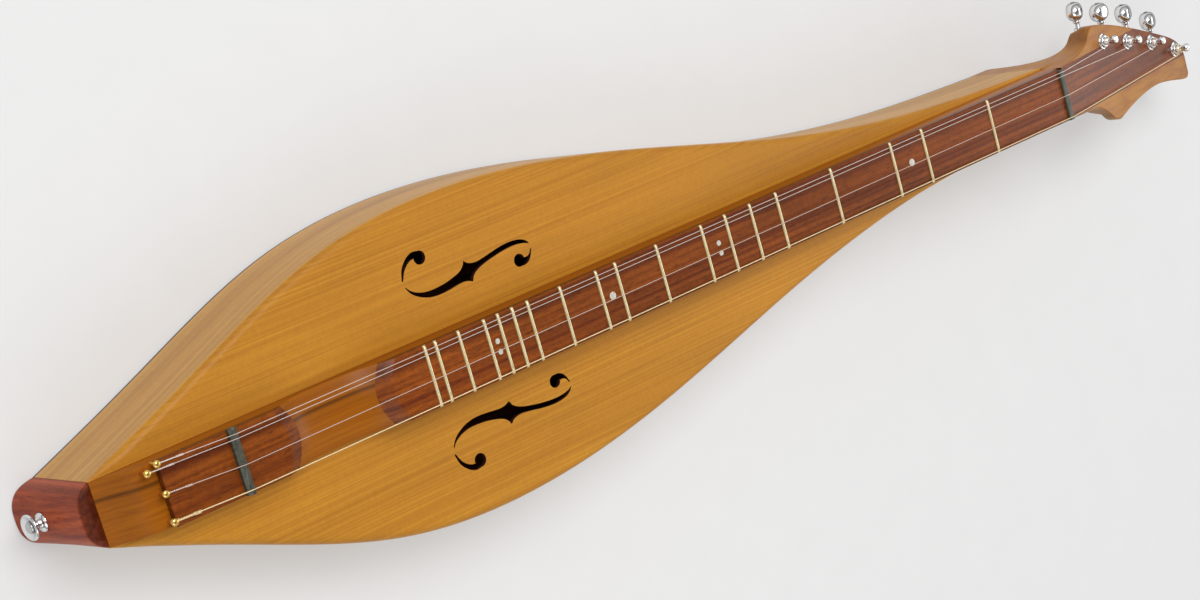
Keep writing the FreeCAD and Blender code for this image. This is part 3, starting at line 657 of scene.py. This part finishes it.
def soundboard():
    """The plate with its rounded rim and both pairs of sound holes."""
    bm = bmesh.new()
    depths = [PLATE * (1 - cos(a)) for a in spread(0, pi / 2, 10)]
    rings = [outline(lambda s, d=d: rim_inset(s, d), BODY_DEPTH - d) for d in depths]
    loops = [[bm.verts.new(p * MM) for p in ring] for ring in rings]
    for first, second in zip(loops, loops[1:]):
        strip_faces(bm, first, second)
    top_edges, under_edges = ring_edges(bm, loops[0]), ring_edges(bm, loops[-1])
    walls = []
    for side in (1, -1):
        for hole in HOLES:
            top = [bm.verts.new(at(s, side * y, BODY_DEPTH) * MM) for s, y in hole]
            low = [bm.verts.new(at(s, side * y, BODY_DEPTH - PLATE) * MM) for s, y in hole]
            walls += strip_faces(bm, top, low)
            top_edges += ring_edges(bm, top)
            under_edges += ring_edges(bm, low)
    for face in walls:
        face.material_index = 1
    bmesh.ops.triangle_fill(bm, edges=top_edges, use_beauty=True, normal=(0, 0, 1))
    bmesh.ops.triangle_fill(bm, edges=under_edges, use_beauty=True, normal=(0, 0, -1))
    bmesh.ops.recalc_face_normals(bm, faces=bm.faces)
    mesh = bpy.data.meshes.new("soundboard_plate")
    bm.to_mesh(mesh)
    bm.free()
    finish_piece(new_object("soundboard_plate", mesh), [WOODS["soundboard"], HOLE_EDGE],
                 "soundboard", 40.0)


def side_panel(name, node, side):
    """One bent side, from the back plate to the soundboard."""
    low, high = PLATE, BODY_DEPTH - PLATE
    depths = spread(PLATE, RIM_ROUND, 6)
    rings = []
    for s in STATIONS:
        w = half_width(s)
        outer = [at(s, side * (w - rim_inset(s, d)), BODY_DEPTH - d) for d in reversed(depths)]
        rings.append([at(s, side * w, low)] + outer
                     + [at(s, side * (w - SIDE), high), at(s, side * (w - SIDE), low)])
    mesh_piece(name, *loft(rings), WOODS["side"], node, "side_cherry")


def back_plate():
    """The back, with a small round-over below."""
    rings = [outline(0, PLATE)]
    for a in spread(0, pi / 2, 6):
        rings.append(outline(BACK_ROUND * (1 - cos(a)), BACK_ROUND * (1 - sin(a))))
    mesh_piece("back_plate", *loft(rings), WOODS["back"], "back", "side_cherry")


soundboard()
side_panel("bass_side_panel", "bass_side", 1)
side_panel("melody_side_panel", "melody_side", -1)
back_plate()

# ---- fretboard ----
EDGE = 0.35
CLEAR_ABOVE = 9  # any height well over the board, where the hollow doesn't reach
BISECTIONS = 40
TUCK = 0.02  # how far the thin ends of the two dark strips sink into the base
CHAMFER = 0.3
BASE_SINK = 0.2
# the ramp past the pins: shares of its run and of its fall
RAMP = ((0.0, 0.0), (0.22, 0.10), (0.55, 0.48), (0.8, 0.80))
RAMP_END = 0.4  # its height over the soundboard at the tail
SCALE = 711.2
FRET_STEPS = (2, 4, 5, 7, 9, 10, 11, 12, 14, 16, 17, 19, 21, 22, 23, 24, 26, 28, 29)
FRET_W = 2.1
FRET_SINK = 0.3
FRET_DOME = 0.8  # below 1 makes the wire's section squarer than a half round
# a fret's filed end: distance in from the board's edge, and share of the full height
FRET_END = ((0.0, 0.06), (0.35, 0.5), (0.8, 0.82), (1.4, 1.0))
# position dots: station, Y and radius
DOTS = ((162.0, 0.0, 2.5), (436.5, 0.0, 2.5), (344.4, -3.3, 1.7), (344.4, 3.3, 1.7),
        (527.6, -3.3, 1.7), (527.6, 3.3, 1.7))
DOT_SINK = 0.5
hollow_line = natural_spline(HOLLOW)


def board_slices():
    """(Y, drop) of lengthwise slices across the board; drop rounds its long edges."""
    edge = [(BOARD_HALF - EDGE * (1 - sin(a)), EDGE * (1 - cos(a)))
            for a in spread(0, pi / 2, 5)]
    inner = [(y, 0.0) for y in spread(-edge[0][0], edge[0][0], 25)]
    return [(-y, d) for y, d in reversed(edge)][:-1] + inner + edge[1:]


def hollow_height(s, y):
    """Height of the strum hollow's crowned floor."""
    if not HOLLOW[0][0] <= s <= HOLLOW[-1][0]:
        return BOARD_TOP + CLEAR_ABOVE
    radius = CROWN + hollow_line(s)
    return BOARD_TOP - CROWN + sqrt(max(radius * radius - y * y, 0.0))


def crossing(y, level, low, high):
    """Station between low and high where the hollow's floor passes level."""
    rising = hollow_height(high, y) > hollow_height(low, y)
    for _ in range(BISECTIONS):
        middle = (low + high) / 2
        if (hollow_height(middle, y) > level) == rising:
            high = middle
        else:
            low = middle
    return (low + high) / 2


def board_piece(name, profile_at, material, node, slot):
    """Lofts lengthwise slices: profile_at(y, drop) gives a closed (station, height) outline."""
    rings = [[at(s, y, z) for s, z in profile_at(y, drop)] for y, drop in board_slices()]
    mesh_piece(name, *loft(rings), material, node, slot, 24.0)


def fingerboard_profile(y, drop):
    end_low = crossing(y, BASE_TOP, HOLLOW[0][0], HOLLOW_MIDDLE)
    end_high = crossing(y, BOARD_TOP, HOLLOW[0][0], HOLLOW_MIDDLE)
    slope = [(s, hollow_height(s, y) - drop) for s in spread(end_high, end_low, 12)]
    flat = [(s, BOARD_TOP - drop) for s in spread(0.0, end_high, 3)[:-1]]
    return [(0.0, BASE_TOP)] + flat + slope + [(end_low, BASE_TOP - TUCK)]


def island_profile(y, drop):
    start_low = crossing(y, BASE_TOP, HOLLOW_MIDDLE, HOLLOW[-1][0])
    start_high = crossing(y, BOARD_TOP, HOLLOW_MIDDLE, HOLLOW[-1][0])
    slope = [(s, hollow_height(s, y) - drop) for s in spread(start_low, start_high, 12)]
    end = [(ISLAND_TAIL - CHAMFER, BOARD_TOP - drop),
           (ISLAND_TAIL, BOARD_TOP - CHAMFER - drop), (ISLAND_TAIL, BASE_TOP)]
    return [(start_low, BASE_TOP - TUCK)] + slope + end


def ramp_curve():
    """Top of the base past the pins, where it falls to the soundboard."""
    run = BODY_TAIL - RAMP_START
    fall = BASE_TOP - BODY_DEPTH
    stops = [(RAMP_START + along * run, BASE_TOP - down * fall) for along, down in RAMP]
    return natural_spline(stops + [(BODY_TAIL, BODY_DEPTH + RAMP_END)])


ramp_height = ramp_curve()


def base_profile(y, drop):
    foot = BODY_DEPTH - BASE_SINK
    dip_start = crossing(y, BASE_TOP, HOLLOW[0][0], HOLLOW_MIDDLE)
    dip_end = crossing(y, BASE_TOP, HOLLOW_MIDDLE, HOLLOW[-1][0])
    dip = [(s, hollow_height(s, y) - drop) for s in spread(dip_start, dip_end, 44)]
    ramp = [(s, ramp_height(s) - drop) for s in spread(RAMP_START, BODY_TAIL, 14)]
    return [(BODY_FRONT, foot), (BODY_FRONT, BASE_TOP - drop)] + dip + ramp + [(BODY_TAIL, foot)]


board_piece("fretboard_core", base_profile, WOODS["base"], "fretboard_base", "board_cherry")
board_piece("fingerboard_strip", fingerboard_profile, WOODS["overlay"], "fingerboard",
            "overlay_rosewood")
board_piece("bridge_island_strip", island_profile, WOODS["overlay"], "bridge_island",
            "overlay_rosewood")


def fret(s):
    """Domed wire with filed ends."""
    rise, half, foot = FRET_TOP - BOARD_TOP, FRET_W / 2, BOARD_TOP - FRET_SINK
    ends = [(BOARD_HALF - inward, share) for inward, share in FRET_END]
    places = [(-y, share) for y, share in ends] + [(0.0, 1.0)] + ends[::-1]
    rings = []
    for y, share in places:
        dome = [at(s - half * cos(a), y, BOARD_TOP + rise * share * sin(a) ** FRET_DOME)
                for a in spread(0, pi, 11)]
        rings.append([at(s - half, y, foot)] + dome + [at(s + half, y, foot)])
    return loft(rings)


def dot(s, y, r):
    profile = [(0, -DOT_SINK), (r, -DOT_SINK), (r, 0.01), (r - 0.12, 0.05), (0, 0.06)]
    return lathe(profile, Matrix.Translation(at(s, y, BOARD_TOP)), 32)


frets = [fret(SCALE * (1 - 2 ** (-n / 12))) for n in FRET_STEPS]
mesh_piece("fret_wires", *joined(*frets), NICKEL, "frets", "fret_nickel", 50)
dots = [dot(*place) for place in DOTS]
mesh_piece("pearl_markers", *joined(*dots), PEARL, "position_dots", "pearl")


# ---- carried-over CAD nodes ----
WELD = 1e-6
BEVEL_ANGLE = radians(35)
DRESS_SHARP = radians(30)


def dress(node, material, bevel=0.0):
    """Keeps a CAD node's mesh, with its doubled points welded for smooth shading."""
    o = frame["nodes"][node]
    o.data.materials.clear()
    o.data.materials.append(material)
    weld = o.modifiers.new("weld", "WELD")
    weld.merge_threshold = WELD
    if bevel:
        soft = o.modifiers.new("soft_edges", "BEVEL")
        soft.width = bevel * MM
        soft.segments = 2
        soft.limit_method = "ANGLE"
        soft.angle_limit = BEVEL_ANGLE
        soft.harden_normals = False
    o.data.shade_smooth()
    o.data.set_sharp_from_angle(angle=DRESS_SHARP)


for node in ("soundboard_linings", "back_linings", "soundboard_braces", "back_braces", "tail_block"):
    dress(node, WOODS["inner"])
for node in ("nut", "bridge"):
    dress(node, EBONY, bevel=0.2)
dress("tail_cap", WOODS["cap"])
dress("strap_button_screw", STEEL)
dress("tuner_screws", STEEL)
for i in range(1, 5):
    dress(f"tuner_case_{i}", CHROME)
    dress(f"worm_wheel_{i}", BRASS)
    dress(f"worm_shaft_{i}", STEEL)
    dress(f"button_screw_{i}", STEEL)


# ---- peghead ----
TIP = 189.0
# half outlines of the peghead, seen square on: distance past the nut, and Y
MELODY_EDGE = ((1.0, -20.4), (18.0, -20.5), (32.0, -22.4), (43.0, -26.6), (50.0, -32.6),
               (56.5, -35.9), (66.0, -34.8), (86.0, -29.8), (108.0, -22.8), (130.0, -14.9),
               (158.0, -4.2), (173.0, 2.2), (182.5, 8.6), (187.0, 16.0), (188.8, 22.0), (TIP, 29.0))
BASS_EDGE = ((1.0, 20.4), (30.0, 20.6), (43.0, 22.8), (54.0, 29.4), (61.0, 35.5), (68.0, 38.2),
             (75.0, 37.0), (87.0, 34.3), (105.0, 31.3), (123.0, 29.6), (141.0, 29.8), (161.0, 32.8),
             (181.0, 36.8), (187.2, 35.4), (TIP, 29.2))
HEEL = 24.0
HEEL_FLAT = 16.0
HEEL_POLE = 51.0
SEAT_START = 55.0
FOOT_STEP = 8.0
HEAD_EDGE = 0.9
HEAD_HALF = BASS_EDGE[0][1]
STEP_RUN = 22.0  # the head's sides blend from the fretboard's width over this distance
STRIP_DEPTH = BOARD_TOP - BASE_TOP
PROUD = 0.05  # how far the dark strip stands off the face
TIP_GAPS = (5, 4, 3, 2, 1.2, 0.6)  # distances short of the tip at which sections close up
TIP_SINK = 0.8
BLOCK_END = 45.0


def edge_function(points):
    """Y of one edge as a function of the distance past the nut, along smooth path points."""
    path = smooth_path([(s, y, 0) for s, y in points], 8)

    def value(s):
        for a, b in zip(path, path[1:]):
            if a.x <= s <= b.x and b.x > a.x:
                return a.y + (b.y - a.y) * (s - a.x) / (b.x - a.x)
        return path[0].y if s < path[0].x else path[-1].y
    return value


melody_edge = edge_function(MELODY_EDGE)
bass_edge = edge_function(BASS_EDGE)


def foot_curve():
    """The underside of the peghead's foot, from the heel out to its step, as (x, z)."""
    poles = [at(-HEEL, 0, HEEL_FLAT), at(-HEEL, 0, HEEL_POLE),
             head_point(38.0, 0, -HEAD_T - FOOT_STEP - 1.5),
             head_point(SEAT_START, 0, -HEAD_T - FOOT_STEP)]
    curve = []
    for t in spread(0, 1, 26):
        a, b, c, d = (1 - t) ** 3, 3 * (1 - t) ** 2 * t, 3 * (1 - t) * t * t, t ** 3
        p = a * poles[0] + b * poles[1] + c * poles[2] + d * poles[3]
        curve.append((p.x, p.z))
    return curve


def face_height(x, n=0.0):
    """Height of the tilted face, or of a plane n above it, at an x."""
    return head_point(0, 0, n).z + (x - head_point(0, 0, n).x) * tan(TILT)


def edge_ring(x, low_y, high_y, top, bottom, step):
    """An upright section at x, its long corners rounded; top and bottom are heights.

    step draws the walls in above the soundboard, to run on from the fretboard's sides.
    """
    ring = []
    r = min(HEAD_EDGE, 0.3 * (high_y - low_y), 0.3 * (top - bottom))
    ledge = min(max(BODY_DEPTH, bottom + 1.5 * r), top - 2.5 * r)
    corners = ((high_y, top, 1, -1), (high_y, bottom, 1, 1), (low_y, bottom, -1, 1),
               (low_y, top, -1, -1))
    for number, (y, z, side, up) in enumerate(corners):
        shelf = [Vector((x, y - side * step, ledge + r)), Vector((x, y, ledge))]
        arc = []
        for a in spread(0, pi / 2, 4):
            turn = a if number % 2 == 0 else pi / 2 - a
            inward = r * (1 - sin(turn)) + (step if up < 0 else 0.0)
            arc.append(Vector((x, y - side * inward, z + up * r * (1 - cos(turn)))))
        if number == 0:
            ring += arc + shelf
        elif number == 3:
            ring += shelf[::-1] + arc
        else:
            ring += arc
    return ring


def head_section(x, bottom, top):
    """A section of the head plate at x."""
    s = (NUT_X - NUT_T - x) / cos(TILT)
    y0, y1 = melody_edge(s), bass_edge(s)
    blend = min(max(s / STEP_RUN, 0.0), 1.0)
    step = (HEAD_HALF - BOARD_HALF) * (1 - blend * blend * (3 - 2 * blend))
    return edge_ring(x, min(y0, y1 - 0.5), y1, top, bottom, step)


def peghead():
    """The head plate and its foot, with the block inside the body."""
    front, heel = NUT_X + BODY_FRONT, NUT_X - HEEL
    sections = [(front, 0.0, BASE_TOP)]
    # the heel, rounded below, then its curve
    under = [(front - 0.05, 0.0), (heel + 3.0, 0.0), (heel + 0.9, 0.9), (heel, 3.0)]
    under += [(x - 0.01, z) for x, z in foot_curve()]
    sections += [(x, z, face_height(x)) for x, z in under]
    seat_x = head_point(SEAT_START, 0, -HEAD_T).x
    for s in spread(SEAT_START + 0.6, TIP - 6.0, 90) + [TIP - g for g in TIP_GAPS + (0.25, 0.05)]:
        x = min(head_point(s, 0).x, seat_x - 0.05)
        sink = HEAD_EDGE * max(0.0, 1 - (TIP - s) / TIP_SINK) if s > TIP - TIP_SINK else 0.0
        sections.append((x, face_height(x, -HEAD_T) + sink, face_height(x) - sink))
    plate = loft([head_section(*section) for section in sections])
    block = []
    low, high = PLATE, BODY_DEPTH - PLATE
    for s in spread(BODY_FRONT, BLOCK_END, 12):
        w = half_width(s) - SIDE
        block.append([at(s, w, low), at(s, w, high), at(s, -w, high), at(s, -w, low)])
    mesh_piece("head_plate", *joined(plate, loft(block)), WOODS["head"], "peghead",
               "head_cherry", 38)


def peghead_strip():
    """The dark strip in the peghead's face, a hair proud of it."""
    rings = []
    for s in spread(0.3, TIP - 6.0, 110) + [TIP - g for g in TIP_GAPS + (0.3,)]:
        low, high = melody_edge(s), bass_edge(s)
        y0, y1 = max(-BOARD_HALF, low - PROUD), min(BOARD_HALF, high + PROUD)
        if y1 - y0 < 0.4:
            break
        x = head_point(s, 0).x
        top, bottom = face_height(x, PROUD), face_height(x, -STRIP_DEPTH)
        # rounded where the strip reaches the outline, square where it meets the wood beside it
        ring = []
        r = HEAD_EDGE if y0 <= low else 0.02
        for a in spread(0, pi / 2, 4):
            ring.append(Vector((x, y0 + r * (1 - cos(a)), top - r * (1 - sin(a)))))
        ring += [Vector((x, *corner)) for corner in ((y1, top), (y1, bottom), (y0, bottom))]
        rings.append(ring)
    mesh_piece("head_strip", *loft(rings), WOODS["overlay"], "peghead_overlay",
               "overlay_rosewood", 38)


peghead()
peghead_strip()


# ---- strings ----
STRING_SINK = 0.2  # how deep the strings sit in the nut's and bridge's notches
VARNISH = 0.03  # added to a string's radius, so that it covers the CAD string
POST_REACH = 0.5
LOOP_GAP = 0.05
LOOP_SPAN = (radians(50), radians(310))
TWIST_LEAD = 1.6
TWIST_SHARE = 0.6
TWIST_TURNS = 4.5
WRAP_PITCH = 2.15  # the tight wraps' spacing, in string radii
WIND_STEPS = 22
# the coil's way into the post's hole and its short tail, about the post
WIND_END = ((-2.4, 0.0, 6.6), (0.0, 0.0, 6.8), (2.6, 0.0, 6.8), (3.4, -0.5, 7.3))
ACROSS = Vector((0, 1, 0))


def string_height(s):
    """Height of the strings' undersides between nut and bridge."""
    nut_z = FRET_TOP + NUT_RISE - STRING_SINK
    bridge_z = FRET_TOP + BRIDGE_RISE - STRING_SINK
    return nut_z + (bridge_z - nut_z) * s / BRIDGE_X


def string_stops(index):
    """Centre points of a string: pin, bridge, nut front, nut back and post."""
    r, nut_y, bridge_y, pin_y = STRINGS[index]
    head_s, head_y = TUNERS[index]
    return (at(PIN_X[index], pin_y, BASE_TOP + PIN_RISE - 2 * r - LOOP_DROP),
            at(BRIDGE_X, bridge_y, string_height(BRIDGE_X) + r),
            at(0, nut_y, string_height(0) + r), at(-NUT_T, nut_y, string_height(0) + r),
            head_point(head_s - POST_REACH, head_y + POST_R + 3 * r + 0.2, WIND_Z + r))


def helix(start, along, length, radius, turns, phase, steps=14):
    """Points winding about a straight line."""
    side = along.cross(ACROSS).normalized()
    up = side.cross(along)
    count = max(2, round(turns * steps))
    return [start + along * length * k / count
            + radius * (side * cos(phase + 2 * pi * turns * k / count)
                        + up * sin(phase + 2 * pi * turns * k / count))
            for k in range(count + 1)]


def loop_end(pin, along, r):
    """Tubes of a string's loop about its pin, and where its twist starts."""
    loop_r = PIN_SHANK + r + LOOP_GAP
    start = pin + along * (loop_r + TWIST_LEAD)
    loop = [pin + loop_r * (along * cos(a) + ACROSS * sin(a))
            for a in spread(*LOOP_SPAN, 26)]
    return start, [tube(loop[:1] + [start + r * ACROSS], r, 8),
                   tube([start - r * ACROSS, loop[-1]], r, 8), tube(loop, r, 8)]


def string(name, node, index, material, slot):
    """A string with its loop, twisted end and tight wraps, over the bridge and nut to its post."""
    r = STRINGS[index][0] + VARNISH
    pin, bridge, nut, nut_back, post = [p - Vector((0, 0, VARNISH)) for p in string_stops(index)]
    along = (bridge - pin).normalized()
    start, loop = loop_end(pin, along, r)
    twist = TWIST * TWIST_SHARE
    wrap = TWIST - TWIST_LEAD - twist
    first = helix(start, along, twist, r, TWIST_TURNS, 0.0)
    second = helix(start, along, twist, r, TWIST_TURNS, pi)
    coil_start = start + along * twist
    coil = helix(coil_start, along, wrap, 2 * r, wrap / (WRAP_PITCH * r), pi, 10)
    # points close to the bridge and the nut keep the bends there short
    run = [coil_start + along * 0.4, coil_start + along * (wrap + 1.0)]
    run += [bridge + (pin - bridge).normalized() * 0.8, bridge,
            bridge + (nut - bridge).normalized() * 0.8]
    run += [nut + (bridge - nut).normalized() * 0.6, nut, nut_back, post]
    pieces = [tube(first + run, r, 8)] + loop + [tube(second, r, 8), tube(coil, r, 6)]
    mesh_piece(name, *joined(*pieces), material, node, slot, 50)


def winding(index, material, slot):
    """The coil on one post, climbing to the post's hole and ending in a short tail."""
    r = STRINGS[index][0]
    place = head_matrix(*TUNERS[index])
    turns = WIND_TURNS[index]
    points = []
    for k in range(turns * WIND_STEPS + 1):
        a = -pi / 2 - 2 * pi * k / WIND_STEPS
        points.append(Vector(((POST_R + r) * cos(a), (POST_R + r) * sin(a),
                              WIND_Z + r + 2 * r * k / WIND_STEPS * (turns - 1) / turns)))
    last = points[-1]
    climb = smooth_path([last, Vector((-POST_R * 0.9, -1.6, last.z + 1.2)), *WIND_END], 6)
    path = [place @ p for p in points + climb[1:]]
    mesh_piece(f"string_coil_{index + 1}", *tube(path, r, 8), material,
               f"string_winding_{index + 1}", slot, 50, f"post_{index + 1}")


def tail_pin(s, y):
    """A tail pin with a domed head."""
    dome = [(PIN_HEAD * cos(a), PIN_RISE + 0.35 + 1.25 * sin(a))
            for a in spread(0, pi / 2, 9)]
    profile = [(0, -0.5), (PIN_SHANK, -0.5), (PIN_SHANK, PIN_RISE), (PIN_HEAD - 0.15, PIN_RISE),
               (PIN_HEAD, PIN_RISE + 0.15)] + dome
    return lathe(profile, Matrix.Translation(at(s, y, BASE_TOP)), 32)


KINDS = (("melody_string_1", STRING_STEEL, "string_steel"),
         ("melody_string_2", STRING_STEEL, "string_steel"),
         ("middle_string", STRING_FINE, "string_bronze"),
         ("bass_string", STRING_BRONZE, "string_bronze"))
for index, (node, material, slot) in enumerate(KINDS):
    string(node + "_wire", node, index, material, slot)
    winding(index, material, slot)

pins = [tail_pin(s, sizes[3]) for s, sizes in zip(PIN_X, STRINGS)]
mesh_piece("brass_pins", *joined(*pins), BRASS, "string_pins", "pin_brass", 50)


# ---- tuners ----
BUSHING = ((3.05, -6.0), (4.2, -6.0), (4.2, 0.0), (6.1, 0.0), (6.1, 0.6), (5.6, 1.0),
           (4.9, 1.1), (4.7, 2.4), (4.1, 3.0), (3.05, 3.0), (3.05, -6.0))
POST = ((0, -16.4), (2.4, -16.4), (2.4, -11.2), (POST_R, -11.2), (POST_R, 4.6), (2.3, 5.4), (2.1, 6.8),
        (2.3, 8.2), (POST_R, 9.2), (POST_R, 11.2), (2.3, 12.0), (1.5, 12.0), (1.3, 11.7), (0, 11.7))
COLLAR = ((0, 0), (2.6, 0), (2.9, 0.5), (2.9, 1.5), (2.4, 2.2), (2.6, 4.5), (0, 4.5))
BUTTON_HALF = (8.6, 7.4, 6.6)
BUTTON_CUT = (7.0, 5.6)  # where the oval is flattened, along the shaft and across it
BUTTON_OUT = 8.6  # its centre's distance from its collar's foot
BUTTON_RINGS = 40


def soft_clip(value, limit, power=10):
    return value / (1 + abs(value / limit) ** power) ** (1 / power)


def button(turn):
    """Flattened oval button and its collar, about the shaft, which runs along y."""
    a, b, c = BUTTON_HALF
    rings = []
    for k in range(1, BUTTON_RINGS):
        v = cos(pi * k / BUTTON_RINGS)
        y = BUTTON_OUT + soft_clip(b * v, BUTTON_CUT[0])
        wide = sqrt(1 - v * v)
        rings.append([Vector((a * wide * cos(u), y,
                              soft_clip(c * wide * sin(u), BUTTON_CUT[1])))
                      for u in circle(64)])
    collar = lathe(rounded(COLLAR, 0.3), Matrix.Rotation(radians(-90), 4, "X"), 40)
    verts, faces = joined(loft(rings), collar)
    turned = Matrix.Rotation(radians(turn), 4, "Y")
    shift = Matrix.Translation((WORM_X, BUTTON_Y - BUTTON_OUT, WORM_Z))
    return [shift @ turned @ v for v in verts], faces


def tuner(index):
    """One tuner's turning pieces and its bushing."""
    tag = str(index + 1)
    place = head_matrix(*TUNERS[index])
    mesh_piece("post_shaft_" + tag, *lathe(rounded(POST, 0.25), place, 40), CHROME,
               "tuner_post_" + tag, "chrome", 50, "post_" + tag)
    verts, faces = button(BUTTON_TURN[index])
    mesh_piece("oval_button_" + tag, [place @ v for v in verts], faces, CHROME,
               "tuner_button_" + tag, "chrome", 60, "knob_" + tag)
    return lathe(rounded(BUSHING, 0.22), place, 56)


bushings = [tuner(i) for i in range(4)]
mesh_piece("post_bushings", *joined(*bushings), CHROME, "tuner_bushings", "chrome", 50)

# ---- strap button ----
STRAP_Z = 29.8
STRAP_LEAN = atan2(8.2, BODY_DEPTH)  # the slant of the tail cap's face
CAP_FOOT = 18.2  # how far the cap's foot stands past the body
SPOOL = ((1.6, -0.6), (5.4, -0.6), (5.8, 0.9), (5.2, 2.0), (3.8, 2.8), (3.3, 4.6), (3.9, 6.2), (6.6, 7.4),
         (7.8, 8.2), (7.8, 9.0), (7.1, 9.6), (4.0, 8.6), (1.6, 8.0))


def strap_button():
    seat = at(BODY_TAIL + CAP_FOOT - STRAP_Z * tan(STRAP_LEAN), 0, STRAP_Z)
    out = Vector((cos(STRAP_LEAN), 0, sin(STRAP_LEAN)))
    turned = Matrix((ACROSS, out.cross(ACROSS), out)).transposed().to_4x4()
    profile = rounded(SPOOL, 0.5)
    mesh_piece("strap_spool", *lathe(profile, Matrix.Translation(seat) @ turned, 72), CHROME,
               "strap_button", "chrome", 50)


strap_button()


# ---- stage ----
FLOOR_HALF = 30
FLOOR_DROP = 0.0002
FLOOR_GLOW = 0.30
CAMERA_RIGHT = Vector((-0.74319, 0.27159, 0.61148))
CAMERA_UP = Vector((-0.33911, -0.94073, 0.00567))
CAMERA_AT = at(1311.48, -282.98, BODY_DEPTH + 21.35 + 1174.87)
# the lights: name, place, target, size and power
LIGHTS = (("key", (0.6, -1.4, 3.0), (0, 0, 0), (2.2, 1.7), 62),
          ("tail_fill", (1.5, 1.5, 1.9), (0.4, 0.2, 0), (1.8, 1.4), 11),
          ("far_card", (-2.7, 0.4, 1.3), (-0.3, 0, 0), (1.6, 1.2), 16))
# the studio's brightness at heights on a unit sphere
SKY = ((0.12, 0.30), (0.45, 0.78), (0.72, 1.0), (0.86, 0.34), (1.0, 0.24))
SKY_STRENGTH = 0.75


def floor():
    """A plain pale floor that lifts its own shadows a little."""
    mesh = bpy.data.meshes.new("floor")
    corners = [(x * FLOOR_HALF, y * FLOOR_HALF, 0) for x, y in ((-1, -1), (1, -1), (1, 1), (-1, 1))]
    mesh.from_pydata(corners, [], [(0, 1, 2, 3)])
    o = new_object("floor", mesh)
    o.location.z = -FLOOR_DROP
    n = Nodes("pale_floor")
    grain = n.noise(n.coords((30, 30, 30)), detail=2.0)
    n.feed(n.ramp(grain, [(0.3, grey(0.50)), (0.7, grey(0.51))]), "Base Color")
    n.set(Roughness=0.9, Specular_IOR_Level=0.0)
    n.set(Emission_Color=grey(1.0), Emission_Strength=FLOOR_GLOW)
    mesh.materials.append(n.material)


def area_light(name, place, target, size, power):
    data = bpy.data.lights.new(name, "AREA")
    data.shape = "RECTANGLE"
    data.size, data.size_y = size
    data.energy = power
    o = new_object(name, data)
    o.location = place
    o.rotation_mode = "QUATERNION"
    o.rotation_quaternion = (Vector(target) - Vector(place)).to_track_quat("-Z", "Y")


def world():
    """Soft light all round, brightest part of the way up and dimmer overhead."""
    w = bpy.data.worlds.new("studio")
    bpy.context.scene.world = w
    w.use_nodes = True
    tree = w.node_tree
    back = tree.nodes["Background"]
    sphere = tree.nodes.new("ShaderNodeTexCoord")
    split = tree.nodes.new("ShaderNodeSeparateXYZ")
    tree.links.new(sphere.outputs["Generated"], split.inputs[0])
    shade = tree.nodes.new("ShaderNodeValToRGB")
    tree.links.new(split.outputs["Z"], shade.inputs["Fac"])
    fill_ramp(shade.color_ramp, [(place, grey(level)) for place, level in SKY])
    tree.links.new(shade.outputs["Color"], back.inputs["Color"])
    back.inputs["Strength"].default_value = SKY_STRENGTH


def camera():
    data = bpy.data.cameras.new("camera")
    data.sensor_width = 36.0
    data.lens = 72.9
    data.shift_y = 0.0288
    data.clip_start, data.clip_end = 0.05, 100
    o = new_object("camera", data)
    axes = (CAMERA_RIGHT, CAMERA_UP, CAMERA_RIGHT.cross(CAMERA_UP))
    o.matrix_world = Matrix.Translation(CAMERA_AT * MM) @ Matrix(axes).transposed().to_4x4()
    bpy.context.scene.camera = o


floor()
for light in LIGHTS:
    area_light(*light)
world()
camera()
bpy.context.scene.view_settings.view_transform = "Standard"
